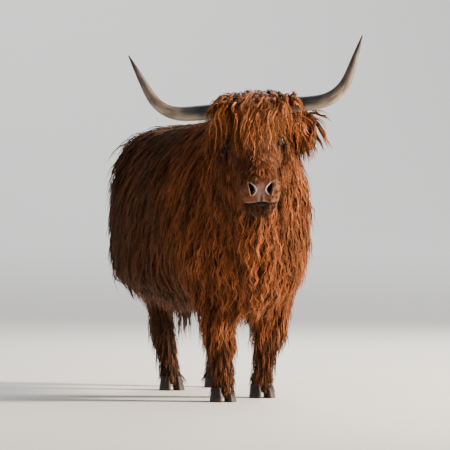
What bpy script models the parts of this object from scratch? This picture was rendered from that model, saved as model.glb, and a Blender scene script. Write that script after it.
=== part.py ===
"""A Highland cow standing at rest: a still, life-size model, parted into its named pieces.

The flesh is lofted from rings, fused into one body by a voxel remesh, and then parted by thin cuts.
Its solids reach out to the tips of the shaggy coat. Horns, eyes, ears, tail and hooves are lofted on
their own and let into sockets in the body. Metres; the cow faces -Y, its left side is +X, +Z is up.
"""

import math
from collections import namedtuple

import bmesh
import bpy
import numpy as np
from mathutils import Vector

# ---- Driving dimensions ---------------------------------------------------------------------
GAP = 0.0003  # left between pieces that touch
RING_POINTS = 28
LOFT_STEPS = 26
CUTTER_STEPS = 8
CUTTER_POINTS = 14
VOXEL = 0.013
BODY_TRIANGLES = 2150  # of the copy that the trunk, neck and legs are cut from
HEAD_SOURCE_TRIANGLES = 2800  # of the finer copy that the head and forelock are cut from

# Rings of the trunk, from the breast to the rump: place along Y, half width, top and bottom.
Trunk = namedtuple("Trunk", "y half_width top bottom")
TRUNK = (
    Trunk(-0.69, 0.11, 0.97, 0.55),
    Trunk(-0.63, 0.20, 1.07, 0.43),
    Trunk(-0.50, 0.275, 1.17, 0.335),
    Trunk(-0.33, 0.300, 1.205, 0.325),
    Trunk(-0.08, 0.345, 1.185, 0.350),
    Trunk(0.20, 0.385, 1.165, 0.345),
    Trunk(0.45, 0.395, 1.165, 0.350),
    Trunk(0.62, 0.385, 1.155, 0.385),
    Trunk(0.75, 0.335, 1.115, 0.450),
    Trunk(0.84, 0.235, 1.040, 0.570),
    Trunk(0.88, 0.110, 0.940, 0.700),
)
TRUNK_SQUARENESS = (2.35, 4.0)  # upper and lower half of a ring, from the barrel back
BREAST_SQUARENESS = (2.2, 2.6)

# Rings of the neck, from inside the shoulder to behind the skull.
Neck = namedtuple("Neck", "y x half_width top bottom")
NECK = (
    Neck(-0.30, 0.000, 0.250, 1.200, 0.50),
    Neck(-0.45, -0.005, 0.245, 1.215, 0.50),
    Neck(-0.58, -0.020, 0.220, 1.230, 0.56),
    Neck(-0.70, -0.040, 0.195, 1.240, 0.66),
    Neck(-0.80, -0.060, 0.180, 1.240, 0.76),
    Neck(-0.88, -0.075, 0.150, 1.220, 0.84),
)

# The dewlap, a fringed keel from the throat down to the brisket.
DEWLAP_TOP = (-0.055, -0.79, 0.88)
DEWLAP_BOTTOM = (0.0, -0.575, 0.36)
DEWLAP_HALF_WIDTH = 0.125
DEWLAP_HALF_DEPTH = 0.115

# The head stands turned a little to the cow's right, tipped, and rolled left side up.
POLL = np.array((-0.073, -0.805, 1.235))
HEAD_TURN = math.radians(13.0)
HEAD_PITCH = math.radians(47.0)
HEAD_ROLL = math.radians(5.0)

# Rings of the head square to its long axis: place along it from the poll, half width, brow and jaw.
Head = namedtuple("Head", "along half_width brow jaw squareness")
HEAD = (
    Head(-0.070, 0.060, -0.060, -0.140, 2.0),
    Head(-0.040, 0.100, -0.020, -0.185, 2.1),
    Head(0.010, 0.116, 0.006, -0.225, 2.2),
    Head(0.070, 0.122, 0.022, -0.245, 2.3),
    Head(0.130, 0.126, 0.024, -0.250, 2.4),
    Head(0.180, 0.122, 0.018, -0.236, 2.4),
    Head(0.240, 0.102, 0.008, -0.205, 2.4),
    Head(0.300, 0.084, 0.000, -0.174, 2.4),
    Head(0.345, 0.077, -0.004, -0.154, 2.4),
    Head(0.385, 0.078, -0.006, -0.146, 2.5),
    Head(0.415, 0.080, -0.016, -0.142, 2.5),
    Head(0.440, 0.077, -0.036, -0.138, 2.5),
    Head(0.458, 0.068, -0.062, -0.130, 2.4),
    Head(0.468, 0.045, -0.084, -0.114, 2.2),
)

# The mop of hair over the poll and brow, as a dome in head coordinates.
MOP_CENTRE = (0.012, 0.085, -0.035)
MOP_RADII = (0.184, 0.195, 0.098)
MOP_SOLE_HEIGHT = 0.004  # of the plane between the mop and the forehead
MOP_SOLE_TILT = math.radians(9.0)

EYE_RADIUS = 0.021
EYE_PLACE = (0.107, 0.178, -0.045)  # across, along and above, in head coordinates
PARTING_PLACE = (0.172, 0.215, -0.050)  # where the side hair parts and leaves the eye clear
PARTING_RADII = (0.060, 0.098, 0.044)
NOSTRIL_PLACE = (0.044, 0.447, -0.052)
NOSTRIL_RADII = (0.013, 0.020, 0.020)
MOUTH_ALONG, MOUTH_HEIGHT = 0.475, -0.108
MOUTH_RADII = (0.062, 0.075, 0.0035)

# Horns: out level from the poll, then bending up.
HORN_ROOT_ACROSS = 0.085
HORN_ROOT_RISE = -0.020
HORN_LENGTH = 0.548
# Its radius at shares of its length.
HORN_RADII = ((0.0, 0.0310), (0.35, 0.0285), (0.52, 0.0250), (0.68, 0.0195), (0.84, 0.0130), (1.0, 0.0030))
HORN_STEPS = 18
HORN_BEND_START, HORN_BEND_LENGTH = 0.150, 0.25
HORN_RISE = math.radians(66.0)
HORN_SWEEP = math.radians(16.0)  # forwards at the root, backwards at the tip

EAR_LENGTH = 0.215
EAR_ROOT = (0.100, 0.020, -0.085)
Ear = namedtuple("Ear", "name side out forward rise fringe")
EARS = (
    Ear("ear_left", 1, 0.93, 0.24, -0.20, 0.170),
    Ear("ear_right", -1, 0.50, -0.74, -0.45, 0.125),
)

# Legs: height, half width and half depth down the limb, hair included.
FRONT_LIMB = (
    (0.70, 0.105, 0.150),
    (0.54, 0.108, 0.140),
    (0.42, 0.102, 0.118),
    (0.32, 0.098, 0.104),
    (0.255, 0.088, 0.094),
    (0.205, 0.066, 0.074),
    (0.130, 0.059, 0.067),
    (0.070, 0.062, 0.072),
    (0.026, 0.065, 0.078),
)
HIND_LIMB = (
    (0.88, 0.130, 0.190),
    (0.70, 0.148, 0.230),
    (0.56, 0.138, 0.212),
    (0.45, 0.112, 0.165),
    (0.36, 0.084, 0.118),
    (0.27, 0.064, 0.084),
    (0.160, 0.057, 0.068),
    (0.075, 0.061, 0.073),
    (0.026, 0.065, 0.078),
)
# Each limb's joints from the top down: the centre of the limb at that height.
Leg = namedtuple("Leg", "name limb joints")
LEGS = (
    Leg(
        "leg_front_right",
        FRONT_LIMB,
        ((-0.165, -0.36, 0.62), (-0.135, -0.475, 0.34), (-0.118, -0.515, 0.10), (-0.128, -0.535, 0.0)),
    ),
    Leg(
        "leg_front_left",
        FRONT_LIMB,
        ((0.165, -0.33, 0.62), (0.140, -0.275, 0.34), (0.113, -0.225, 0.10), (0.110, -0.240, 0.0)),
    ),
    Leg(
        "leg_hind_right",
        HIND_LIMB,
        ((-0.205, 0.56, 0.72), (-0.160, 0.60, 0.38), (-0.122, 0.515, 0.10), (-0.120, 0.495, 0.0)),
    ),
    Leg(
        "leg_hind_left",
        HIND_LIMB,
        ((0.205, 0.60, 0.72), (0.160, 0.765, 0.38), (0.132, 0.730, 0.10), (0.130, 0.710, 0.0)),
    ),
)
LIMB_SQUARENESS = (2.2, 2.2)
LEG_CUT_HEIGHT = 0.56
LEG_CUT_SPREAD = 1.22  # how much wider than the limb its parting cut is

CLAW_HALF_WIDTH = 0.026
CLAW_HALF_LENGTH = 0.058
CLAW_HEIGHT = 0.060
CLAW_SPACING = 0.0290  # from the middle of the foot to the middle of a claw
CLAW_CORONET_SHARE = 0.74
CLAW_SLOPE = 0.022  # how far the coronet stands behind the sole
CLAW_LEAD = 0.014  # how far the claws stand ahead of the middle of the limb

# The tail hangs close behind the rump: place, and radius of its hair.
TAIL = (
    ((0.012, 0.740, 1.085), 0.036),
    ((0.015, 0.850, 1.060), 0.042),
    ((0.018, 0.925, 0.950), 0.037),
    ((0.022, 0.940, 0.800), 0.033),
    ((0.030, 0.930, 0.600), 0.036),
    ((0.035, 0.922, 0.450), 0.056),
    ((0.038, 0.918, 0.330), 0.050),
    ((0.040, 0.918, 0.230), 0.016),
)
TAIL_SWITCH_SHARE = 0.62  # of the tail's length, where the brush of the switch begins


# ---- Frames ---------------------------------------------------------------------------------
def head_axes():
    """Unit vectors of the head: to its left, along it from poll to muzzle, and out of its brow."""
    forward = np.array((-math.sin(HEAD_TURN), -math.cos(HEAD_TURN), 0.0))
    level_left = np.array((math.cos(HEAD_TURN), -math.sin(HEAD_TURN), 0.0))
    upright = np.array((0.0, 0.0, 1.0))
    left = level_left * math.cos(HEAD_ROLL) + upright * math.sin(HEAD_ROLL)
    rise = upright * math.cos(HEAD_ROLL) - level_left * math.sin(HEAD_ROLL)
    along = forward * math.cos(HEAD_PITCH) - rise * math.sin(HEAD_PITCH)
    brow = forward * math.sin(HEAD_PITCH) + rise * math.cos(HEAD_PITCH)
    return left, along, brow, forward, rise


LEFT, ALONG, BROW, FORWARD, RISE = head_axes()


def on_head(across, along, above):
    """The point of the world at these head coordinates."""
    return POLL + across * LEFT + along * ALONG + above * BROW


def head_place(side, place):
    """A named place of the head on its left (1) or right (-1) side."""
    return on_head(side * place[0], place[1], place[2])


# ---- Shapes ---------------------------------------------------------------------------------
def smoothstep(value):
    """0 to 1 with level ends."""
    t = min(max(value, 0.0), 1.0)
    return t * t * (3 - 2 * t)


def through(rows, steps=LOFT_STEPS):
    """A smooth (Catmull-Rom) curve through the rows of a table, as that many rows."""
    table = np.array(rows, float)
    padded = np.vstack((2 * table[0] - table[1], table, 2 * table[-1] - table[-2]))
    made = []
    for place in np.linspace(0, len(table) - 1, steps):
        i = min(int(place), len(table) - 2)
        t = place - i
        a, b, c, d = padded[i : i + 4]
        made.append(
            0.5 * (2 * b + (c - a) * t + (2 * a - 5 * b + 4 * c - d) * t**2 + (3 * b - a - 3 * c + d) * t**3)
        )
    return np.array(made)


def ring(centre, across, up, half_across, half_up, squareness=(2.0, 2.0), points=RING_POINTS):
    """Points of a superellipse in the plane of two unit vectors, squarer above or below at will."""
    made = []
    for i in range(points):
        turn = 2 * math.pi * i / points
        c, s = math.cos(turn), math.sin(turn)
        power = 2 / (squareness[0] if s >= 0 else squareness[1])
        x = math.copysign(abs(c) ** power, c) * half_across
        z = math.copysign(abs(s) ** power, s) * half_up
        made.append(centre + x * np.array(across) + z * np.array(up))
    return made


def mesh_of(name, rings):
    """A closed mesh lofted through rings, with a flat cap on each end."""
    count = len(rings[0])
    verts = [tuple(p) for r in rings for p in r]
    faces = [tuple(range(count)), tuple(range((len(rings) - 1) * count, len(rings) * count))]
    for i in range(len(rings) - 1):
        for j in range(count):
            here, beside = i * count + j, i * count + (j + 1) % count
            faces.append((here, beside, beside + count))
            faces.append((here, beside + count, here + count))
    mesh = bpy.data.meshes.new(name)
    mesh.from_pydata(verts, [], faces)
    tidy(mesh)
    return mesh


def tidy(mesh):
    """Splits a mesh into triangles whose faces point outwards."""
    edit = bmesh.new()
    edit.from_mesh(mesh)
    bmesh.ops.recalc_face_normals(edit, faces=edit.faces)
    bmesh.ops.triangulate(edit, faces=edit.faces)
    edit.to_mesh(mesh)
    edit.free()


def new_object(name, mesh):
    """Puts a mesh in the scene as an object."""
    made = bpy.data.objects.new(name, mesh)
    bpy.context.scene.collection.objects.link(made)
    return made


def ellipsoid(name, centre, axes, radii, rings=8, points=12):
    """A closed ellipsoid on three axes."""
    rows = []
    for i in range(rings):
        lift = math.pi * (i + 0.5) / rings
        rows.append(
            ring(
                centre - axes[2] * radii[2] * math.cos(lift),
                axes[0],
                axes[1],
                radii[0] * math.sin(lift),
                radii[1] * math.sin(lift),
                points=points,
            )
        )
    return new_object(name, mesh_of(name, rows))


def socket_for(*pieces):
    """Copies of pieces, fattened all round by a little more than the gap, to cut their sockets with."""
    made = []
    for piece in pieces:
        edit = bmesh.new()
        edit.from_mesh(piece.data)
        edit.normal_update()
        for vert, normal in [(vert, vert.normal.copy()) for vert in edit.verts]:
            vert.co += normal * GAP * 1.6
        mesh = bpy.data.meshes.new(piece.name + "_socket")
        edit.to_mesh(mesh)
        edit.free()
        made.append(new_object(mesh.name, mesh))
    return made


def slab(name, centre, axes, halves):
    """A closed box on three axes."""
    corners = [
        [centre + sx * halves[0] * axes[0] + sy * halves[1] * axes[1] + sz * halves[2] * axes[2]
         for sx, sy in ((-1, -1), (1, -1), (1, 1), (-1, 1))]
        for sz in (-1, 1)
    ]
    return new_object(name, mesh_of(name, corners))


# ---- Booleans -------------------------------------------------------------------------------
def evaluated(obj):
    """The object's mesh with its modifiers applied."""
    bpy.context.view_layer.update()
    graph = bpy.context.evaluated_depsgraph_get()
    return bpy.data.meshes.new_from_object(obj.evaluated_get(graph))


def bake(obj):
    """Applies all the object's modifiers."""
    mesh = evaluated(obj)
    obj.modifiers.clear()
    obj.data = mesh
    return obj


def copy_of(obj, name):
    """A copy with its own mesh."""
    return new_object(name, obj.data.copy())


def cut(obj, cutter, operation="DIFFERENCE"):
    """Cuts one solid by another and keeps the largest piece that is left."""
    modifier = obj.modifiers.new("cut", "BOOLEAN")
    modifier.operation = operation
    modifier.solver = "EXACT"
    modifier.object = cutter
    bake(obj)
    keep_largest(obj.data)
    return obj


def let_into(pieces, inner):
    """Cuts a socket for one piece into each of the others."""
    (socket,) = socket_for(inner)
    for piece in pieces:
        cut(piece, socket)
    discard(socket)


def keep_largest(mesh):
    """Drops every loose crumb of a mesh except its largest piece."""
    edit = bmesh.new()
    edit.from_mesh(mesh)
    bmesh.ops.remove_doubles(edit, verts=edit.verts, dist=1e-6)
    left, islands = set(edit.verts), []
    while left:
        todo, island = [left.pop()], []
        while todo:
            vert = todo.pop()
            island.append(vert)
            for edge in vert.link_edges:
                other = edge.other_vert(vert)
                if other in left:
                    left.remove(other)
                    todo.append(other)
        islands.append(island)
    islands.sort(key=len)
    for island in islands[:-1]:
        bmesh.ops.delete(edit, geom=island, context="VERTS")
    bmesh.ops.triangulate(edit, faces=edit.faces)
    edit.to_mesh(mesh)
    edit.free()


def discard(*objects):
    """Removes helpers from the scene."""
    for obj in objects:
        bpy.data.objects.remove(obj)


# ---- Materials ------------------------------------------------------------------------------
def material(name, colour, roughness):
    """A plain finish; none of the cow is metal."""
    made = bpy.data.materials.new(name)
    made.use_nodes = True
    shader = made.node_tree.nodes["Principled BSDF"]
    shader.inputs["Base Color"].default_value = (*colour, 1.0)
    shader.inputs["Roughness"].default_value = roughness
    shader.inputs["Metallic"].default_value = 0.0
    return made


def finish(obj, name, surface, smooth=True):
    """Names a finished piece and dresses it."""
    obj.name = name
    obj.data.name = name
    obj.data.materials.clear()
    obj.data.materials.append(surface)
    if smooth:
        obj.data.shade_smooth()
        obj.data.set_sharp_from_angle(angle=math.radians(50))
    return obj


# ---- The flesh ------------------------------------------------------------------------------
X_AXIS, Y_AXIS, Z_AXIS = np.eye(3)


def trunk_shell():
    """Breast, barrel and rump, peaked at the withers and square over the hips."""
    rings = []
    for y, half_width, top, bottom in through(TRUNK, 34):
        forward = smoothstep((0.15 - y) / 0.35)
        squareness = [a + (b - a) * forward for a, b in zip(TRUNK_SQUARENESS, BREAST_SQUARENESS)]
        centre = np.array((0.0, y, (top + bottom) / 2))
        rings.append(ring(centre, X_AXIS, Z_AXIS, half_width, (top - bottom) / 2, squareness))
    return mesh_of("trunk_shell", rings)


def neck_shell():
    """The neck, bending towards the head."""
    rings = [
        ring(np.array((x, y, (top + bottom) / 2)), X_AXIS, Z_AXIS, half_width, (top - bottom) / 2)
        for y, x, half_width, top, bottom in through(NECK)
    ]
    return mesh_of("neck_shell", rings)


def dewlap_shell():
    """The keel of hair under the throat and over the brisket."""
    top, bottom = np.array(DEWLAP_TOP), np.array(DEWLAP_BOTTOM)
    rings = []
    for share in np.linspace(0, 1, 14):
        swell = math.sin(math.pi * (0.12 + 0.76 * share)) ** 0.6
        centre = top + (bottom - top) * share
        rings.append(ring(centre, X_AXIS, Y_AXIS, DEWLAP_HALF_WIDTH * swell, DEWLAP_HALF_DEPTH * swell))
    return mesh_of("dewlap_shell", rings)


def head_shell():
    """Skull, cheeks and muzzle."""
    rings = [
        ring(on_head(0, along, (brow + jaw) / 2), LEFT, BROW, half_width, (brow - jaw) / 2, (square, square))
        for along, half_width, brow, jaw, square in through(HEAD, 40)
    ]
    return mesh_of("head_shell", rings)


def limb_rings(leg, heights, points=RING_POINTS, spread=1.0):
    """Rings down a limb at these heights along the line of its joints, all widened alike."""
    joints, profile = np.array(leg.joints)[::-1], through(leg.limb)[::-1]
    rings = []
    for z in heights:
        x, y = (np.interp(z, joints[:, 2], joints[:, axis]) for axis in (0, 1))
        half_width, half_depth = (spread * np.interp(z, profile[:, 0], profile[:, k]) for k in (1, 2))
        rings.append(
            ring(np.array((x, y, z)), X_AXIS, Y_AXIS, half_width, half_depth, LIMB_SQUARENESS, points)
        )
    return rings


def fused_body():
    """All the flesh as one smooth closed mesh."""
    shells = [trunk_shell(), neck_shell(), dewlap_shell(), head_shell()]
    for leg in LEGS:
        shells.append(mesh_of(leg.name + "_shell", limb_rings(leg, through(leg.limb)[:, 0])))
    shells.append(ellipsoid("mop", on_head(*MOP_CENTRE), (LEFT, ALONG, BROW), MOP_RADII, 16, 28).data)
    edit = bmesh.new()
    for shell in shells:
        edit.from_mesh(shell)
    joined = bpy.data.meshes.new("body")
    edit.to_mesh(joined)
    edit.free()
    discard(bpy.data.objects["mop"])
    body = new_object("body", joined)
    remesh = body.modifiers.new("fuse", "REMESH")
    remesh.mode = "VOXEL"
    remesh.voxel_size = VOXEL
    soften = body.modifiers.new("soften", "SMOOTH")
    soften.factor = 0.5
    soften.iterations = 5
    return bake(body)


def thinned(body, name, triangles):
    """A copy of the body with about that many triangles."""
    made = copy_of(body, name)
    decimate = made.modifiers.new("thin", "DECIMATE")
    decimate.ratio = triangles / (2 * len(body.data.polygons))
    return bake(made)


# ---- Pieces let into the flesh --------------------------------------------------------------
def horn(side):
    """A horn as a tapering tube: level from the poll, then turned up by a smooth bend."""
    place = POLL + side * HORN_ROOT_ACROSS * LEFT + HORN_ROOT_RISE * RISE
    step = HORN_LENGTH / (HORN_STEPS - 1)
    rings = []
    for i in range(HORN_STEPS):
        arc = i * step
        share = arc / HORN_LENGTH
        rise = HORN_RISE * smoothstep((arc - HORN_BEND_START) / HORN_BEND_LENGTH)
        sweep = HORN_SWEEP * math.cos(math.pi * share)
        out = side * LEFT * math.cos(sweep) + FORWARD * math.sin(sweep)
        heading = out * math.cos(rise) + RISE * math.sin(rise)
        up = RISE * math.cos(rise) - out * math.sin(rise)
        radius = np.interp(share, *zip(*HORN_RADII))
        rings.append(ring(place, np.cross(heading, up), up, radius, radius, points=12))
        place = place + heading * step
    return new_object("horn", mesh_of("horn", rings))


def ear(spec):
    """An ear as a flat leaf, with its fringe of long hair hanging from it."""
    axis = spec.side * spec.out * LEFT + spec.forward * FORWARD + spec.rise * RISE
    axis = axis / np.linalg.norm(axis)
    down = -RISE + axis * float(RISE @ axis)
    down = down / np.linalg.norm(down)
    broad = np.cross(axis, down)
    root = head_place(spec.side, EAR_ROOT)
    rings = []
    # Share of the ear's length, half thickness, and how far the leaf rises and its fringe hangs.
    outline = (
        (0.00, 0.020, 0.018, 0.020),
        (0.25, 0.030, 0.036, 0.60 * spec.fringe),
        (0.50, 0.034, 0.042, 0.92 * spec.fringe),
        (0.75, 0.032, 0.036, 0.98 * spec.fringe),
        (0.92, 0.025, 0.016, 0.84 * spec.fringe),
        (1.00, 0.010, -0.012, 0.55 * spec.fringe),
    )
    for share, half_thick, above, below in through(outline, 10):
        centre = root + axis * share * EAR_LENGTH + down * (below - above) / 2
        rings.append(ring(centre, broad, down, half_thick, (below + above) / 2, points=12))
    return new_object(spec.name, mesh_of(spec.name, rings))


def eye(side):
    """An eyeball."""
    radii = (EYE_RADIUS,) * 3
    return ellipsoid("eye", head_place(side, EYE_PLACE), (BROW, ALONG, side * LEFT), radii)


def claw(foot, side):
    """One claw of a cloven hoof: a flat sole, and a wall that leans back to the coronet."""
    x, y = foot[0] + side * CLAW_SPACING, foot[1] - CLAW_LEAD
    rings = []
    for z, share in ((0.0, 1.0), (0.35 * CLAW_HEIGHT, 0.93), (CLAW_HEIGHT, CLAW_CORONET_SHARE)):
        centre = np.array((x, y + CLAW_SLOPE * z / CLAW_HEIGHT, z))
        half_width = CLAW_HALF_WIDTH * (0.55 + 0.45 * share)
        rings.append(ring(centre, X_AXIS, -Y_AXIS, half_width, CLAW_HALF_LENGTH * share, (2.0, 2.6), 12))
    return new_object("claw", mesh_of("claw", rings))


def tail_pieces():
    """The tail down to its switch, and the switch, with a thin gap between them."""
    path = through([(*place, radius) for place, radius in TAIL], 18)
    ahead = np.gradient(path[:, :3], axis=0)
    ahead /= np.linalg.norm(ahead, axis=1)[:, None]
    rings = []
    for row, way in zip(path, ahead):
        back = np.cross(way, X_AXIS)
        rings.append(ring(row[:3], X_AXIS, back / np.linalg.norm(back), row[3], row[3], points=10))
    split = round(TAIL_SWITCH_SHARE * (len(rings) - 1))
    last = [p - ahead[split] * GAP for p in rings[split]]
    dock = new_object("tail", mesh_of("tail", rings[:split] + [last]))
    return dock, new_object("tail_switch", mesh_of("tail_switch", rings[split:]))


# ---- Parting cuts ---------------------------------------------------------------------------
def beyond(name, point, normal):
    """A large block filling the side of a plane that its normal points to."""
    normal = np.array(normal, float) / np.linalg.norm(normal)
    across = np.cross(normal, Z_AXIS)
    across = across / np.linalg.norm(across)
    reach = 1.5
    centre = np.array(point) + normal * reach
    return slab(name, centre, (across, np.cross(across, normal), normal), (reach,) * 3)


def mop_block():
    """The block over the sloping plane that parts the mop from the forehead."""
    normal = BROW * math.cos(MOP_SOLE_TILT) - ALONG * math.sin(MOP_SOLE_TILT)
    along = np.cross(LEFT, normal)
    height = 0.30
    centre = on_head(0, 0.10, MOP_SOLE_HEIGHT) + normal * height
    return slab("mop_block", centre, (LEFT, along, normal), (0.40, 0.19, height))


def leg_cutter(leg):
    """A widened limb, closed at the parting height, that lifts a leg out of the body."""
    heights = np.linspace(LEG_CUT_HEIGHT, 0.0, CUTTER_STEPS)
    rings = limb_rings(leg, heights, CUTTER_POINTS, LEG_CUT_SPREAD)
    return new_object(leg.name + "_cutter", mesh_of(leg.name + "_cutter", rings))


def head_block():
    """The block that takes in the head, from just behind the poll and over the throat."""
    middle = [(a + b) / 2 for a, b in HEAD_BLOCK]
    halves = [(b - a) / 2 for a, b in HEAD_BLOCK]
    return slab("head_block", on_head(*middle), (LEFT, ALONG, BROW), halves)


SIDES = ((-1, "right"), (1, "left"))
NECK_CUT = ((0.0, -0.52, 0.80), (-0.08, -0.95, 0.28))  # a point and the way to the head
HEAD_BLOCK = ((-0.26, 0.26), (-0.012, 0.60), (-0.256, 0.35))  # across, along and above


def main():
    for obj in list(bpy.data.objects):
        bpy.data.objects.remove(obj)

    coat = material("coat", (0.20, 0.065, 0.022), 0.75)
    mop_coat = material("mop", (0.26, 0.090, 0.030), 0.75)
    horn_sheath = material("horn", (0.48, 0.42, 0.35), 0.35)
    eye_gloss = material("eye", (0.02, 0.012, 0.008), 0.08)
    hoof_horn = material("hoof", (0.045, 0.036, 0.030), 0.45)

    body = fused_body()
    coarse = thinned(body, "coarse", BODY_TRIANGLES)
    fine = thinned(body, "fine", HEAD_SOURCE_TRIANGLES)

    head_side = head_block()
    neck_side = beyond("neck_side", *NECK_CUT)
    mop_side = mop_block()
    not_head, not_neck, not_mop = socket_for(head_side, neck_side, mop_side)

    head = cut(cut(copy_of(fine, "head"), head_side, "INTERSECT"), not_mop)
    mop = cut(copy_of(fine, "forelock"), mop_side, "INTERSECT")
    neck = cut(cut(cut(copy_of(coarse, "neck"), neck_side, "INTERSECT"), not_head), not_mop)
    trunk = cut(copy_of(coarse, "trunk"), not_neck)

    for leg in LEGS:
        keeper = leg_cutter(leg)
        limb = cut(copy_of(coarse, leg.name), keeper, "INTERSECT")
        cut(limb, not_neck)
        let_into([trunk], keeper)
        discard(keeper)
        for side, word in SIDES:
            hoof = claw(leg.joints[-1], side)
            let_into([limb], hoof)
            finish(hoof, leg.name.replace("leg", "claw") + "_" + word, hoof_horn)
        finish(limb, leg.name, coat)

    for side, word in SIDES:
        spike, eyeball = horn(side), eye(side)
        parting = ellipsoid(
            "parting", head_place(side, PARTING_PLACE), (LEFT, ALONG, BROW), PARTING_RADII
        )
        nostril = ellipsoid("nostril", head_place(side, NOSTRIL_PLACE), (LEFT, ALONG, BROW), NOSTRIL_RADII)
        cut(cut(head, parting), nostril)
        cut(mop, parting)
        discard(parting, nostril)
        let_into([head, mop], eyeball)
        let_into([head, mop, neck], spike)
        finish(spike, "horn_" + word, horn_sheath)
        finish(eyeball, "eye_" + word, eye_gloss)

    mouth = ellipsoid("mouth", on_head(0, MOUTH_ALONG, MOUTH_HEIGHT), (LEFT, ALONG, BROW), MOUTH_RADII)
    cut(head, mouth)
    discard(mouth)

    for spec in EARS:
        leaf = ear(spec)
        let_into([leaf], bpy.data.objects["horn_" + spec.name.split("_")[1]])
        let_into([head, mop, neck], leaf)
        finish(leaf, spec.name, coat)

    tail, switch = tail_pieces()
    let_into([trunk], tail)
    let_into([trunk], switch)
    finish(tail, "tail", coat)
    finish(switch, "tail_switch", mop_coat)

    finish(head, "head", coat)
    finish(mop, "forelock", mop_coat)
    finish(neck, "neck", coat)
    finish(trunk, "trunk", coat)
    discard(body, coarse, fine, head_side, neck_side, mop_side, not_head, not_neck, not_mop)
    centre_on_floor()


def centre_on_floor():
    """Moves the whole cow so that its origin is on the floor under the middle of its outline."""
    pieces = list(bpy.data.objects)
    corners = np.array([v.co for piece in pieces for v in piece.data.vertices])
    low, high = corners.min(0), corners.max(0)
    shift = Vector((-(low[0] + high[0]) / 2, -(low[1] + high[1]) / 2, 0.0))
    for piece in pieces:
        for vert in piece.data.vertices:
            vert.co += shift


main()
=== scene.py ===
"""The looks of a standing Highland cow: skin, long coat, face, horns, hooves, studio and camera.

Lengths are metres, +Z is up, the cow faces -Y and its left side is +X. Places are worked out from
the boxes of the solids: its feet give the cow's own origin, and its eyes give the frame of the head.
"""

from __future__ import annotations

import logging
import math
import sys
from dataclasses import dataclass
from enum import Enum
from functools import partial
from typing import Callable, Iterator

import bpy
import numpy as np
from numpy.random import Generator
from bpy.types import ID, Material, Mesh, Node, NodeSocket, Object
from mathutils import Matrix, Vector
from mathutils.kdtree import KDTree


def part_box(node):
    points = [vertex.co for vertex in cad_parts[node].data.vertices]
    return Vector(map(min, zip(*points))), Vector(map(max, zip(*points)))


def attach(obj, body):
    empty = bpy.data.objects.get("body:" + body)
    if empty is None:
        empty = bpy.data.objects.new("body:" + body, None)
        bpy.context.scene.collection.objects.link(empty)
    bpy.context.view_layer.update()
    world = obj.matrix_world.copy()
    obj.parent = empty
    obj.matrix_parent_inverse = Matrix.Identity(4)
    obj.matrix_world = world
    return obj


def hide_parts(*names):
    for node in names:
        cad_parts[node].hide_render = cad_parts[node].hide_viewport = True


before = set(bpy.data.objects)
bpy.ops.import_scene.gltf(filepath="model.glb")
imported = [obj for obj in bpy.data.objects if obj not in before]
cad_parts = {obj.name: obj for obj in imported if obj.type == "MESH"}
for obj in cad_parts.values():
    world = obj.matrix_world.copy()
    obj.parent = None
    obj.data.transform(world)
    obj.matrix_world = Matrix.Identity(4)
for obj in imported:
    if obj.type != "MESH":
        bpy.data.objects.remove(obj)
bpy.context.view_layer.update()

Array = np.ndarray
log = logging.getLogger("highland_cow")

BODY = "root"
FULL_TURN = 2 * math.pi
FAR = 50.0  # added to a field where it mustn't hold
UP = np.array((0.0, 0.0, 1.0))
BACKWARD = np.array((0.0, 1.0, 0.0))
LEFTWARD = np.array((1.0, 0.0, 0.0))
PATCH = 0.003  # side of a tuft's patch in the bake map
TURNING = 2.2  # how quickly a lock turns to the lie of the coat
# the tufts close to the hide are darkened: painted shade deep in the coat
UNDER_WIDTH, UNDER_SHADE = 2.0, 0.28  # factors on the tufts close to the hide
BRIGHTEST = 2.3  # a tuft's brightness is never above this
STREAK_WIDTH = 0.0027  # width of hair that one turn of the streaks' map covers
FOLD = 0.2  # cosine between two steps of a lock below which it counts as crumpled
CLEARANCE = 0.005  # lowest that hair hangs over the floor
LEGS = ("leg_front_right", "leg_front_left", "leg_hind_right", "leg_hind_left")


# ---- Arithmetic on whole arrays --------------------------------------------------------------
def unit(vectors: Array) -> Array:
    """Vectors scaled to length one along their last axis."""
    return vectors / np.maximum(np.linalg.norm(vectors, axis=-1, keepdims=True), 1e-12)


def ramp(values: Array, low: float, high: float) -> Array:
    """Smooth step: 0 at low, 1 at high, level at both ends (high may be below low)."""
    t = np.clip((np.asarray(values, float) - low) / (high - low), 0.0, 1.0)
    return t * t * (3.0 - 2.0 * t)


def bell(values: Array, centre: float, width: float) -> Array:
    """Gaussian bell of height one."""
    return np.exp(-(((np.asarray(values, float) - centre) / width) ** 2))


def dot(a: Array, b: Array) -> Array:
    """Dot product along the last axis."""
    return np.sum(a * b, axis=-1)


def tangent(vectors: Array, normals: Array) -> Array:
    """The part of each vector that lies in the surface, not scaled."""
    return vectors - normals * dot(vectors, normals)[..., None]


def through(rows: tuple, count: int) -> Array:
    """A Catmull-Rom curve through table rows.

    Args:
        rows: The table, one row for each station.
        count: How many rows to read from the curve, evenly by station number.

    Returns:
        The rows read from the curve.
    """
    table = np.array(rows, float)
    padded = np.vstack((2 * table[0] - table[1], table, 2 * table[-1] - table[-2]))
    place = np.linspace(0, len(table) - 1, count)
    i = np.minimum(place.astype(int), len(table) - 2)
    t = (place - i)[:, None]
    a, b, c, d = (padded[i + k] for k in range(4))
    curve = 2 * b + (c - a) * t + (2 * a - 5 * b + 4 * c - d) * t**2 + (3 * b - a - 3 * c + d) * t**3
    return 0.5 * curve


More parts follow.
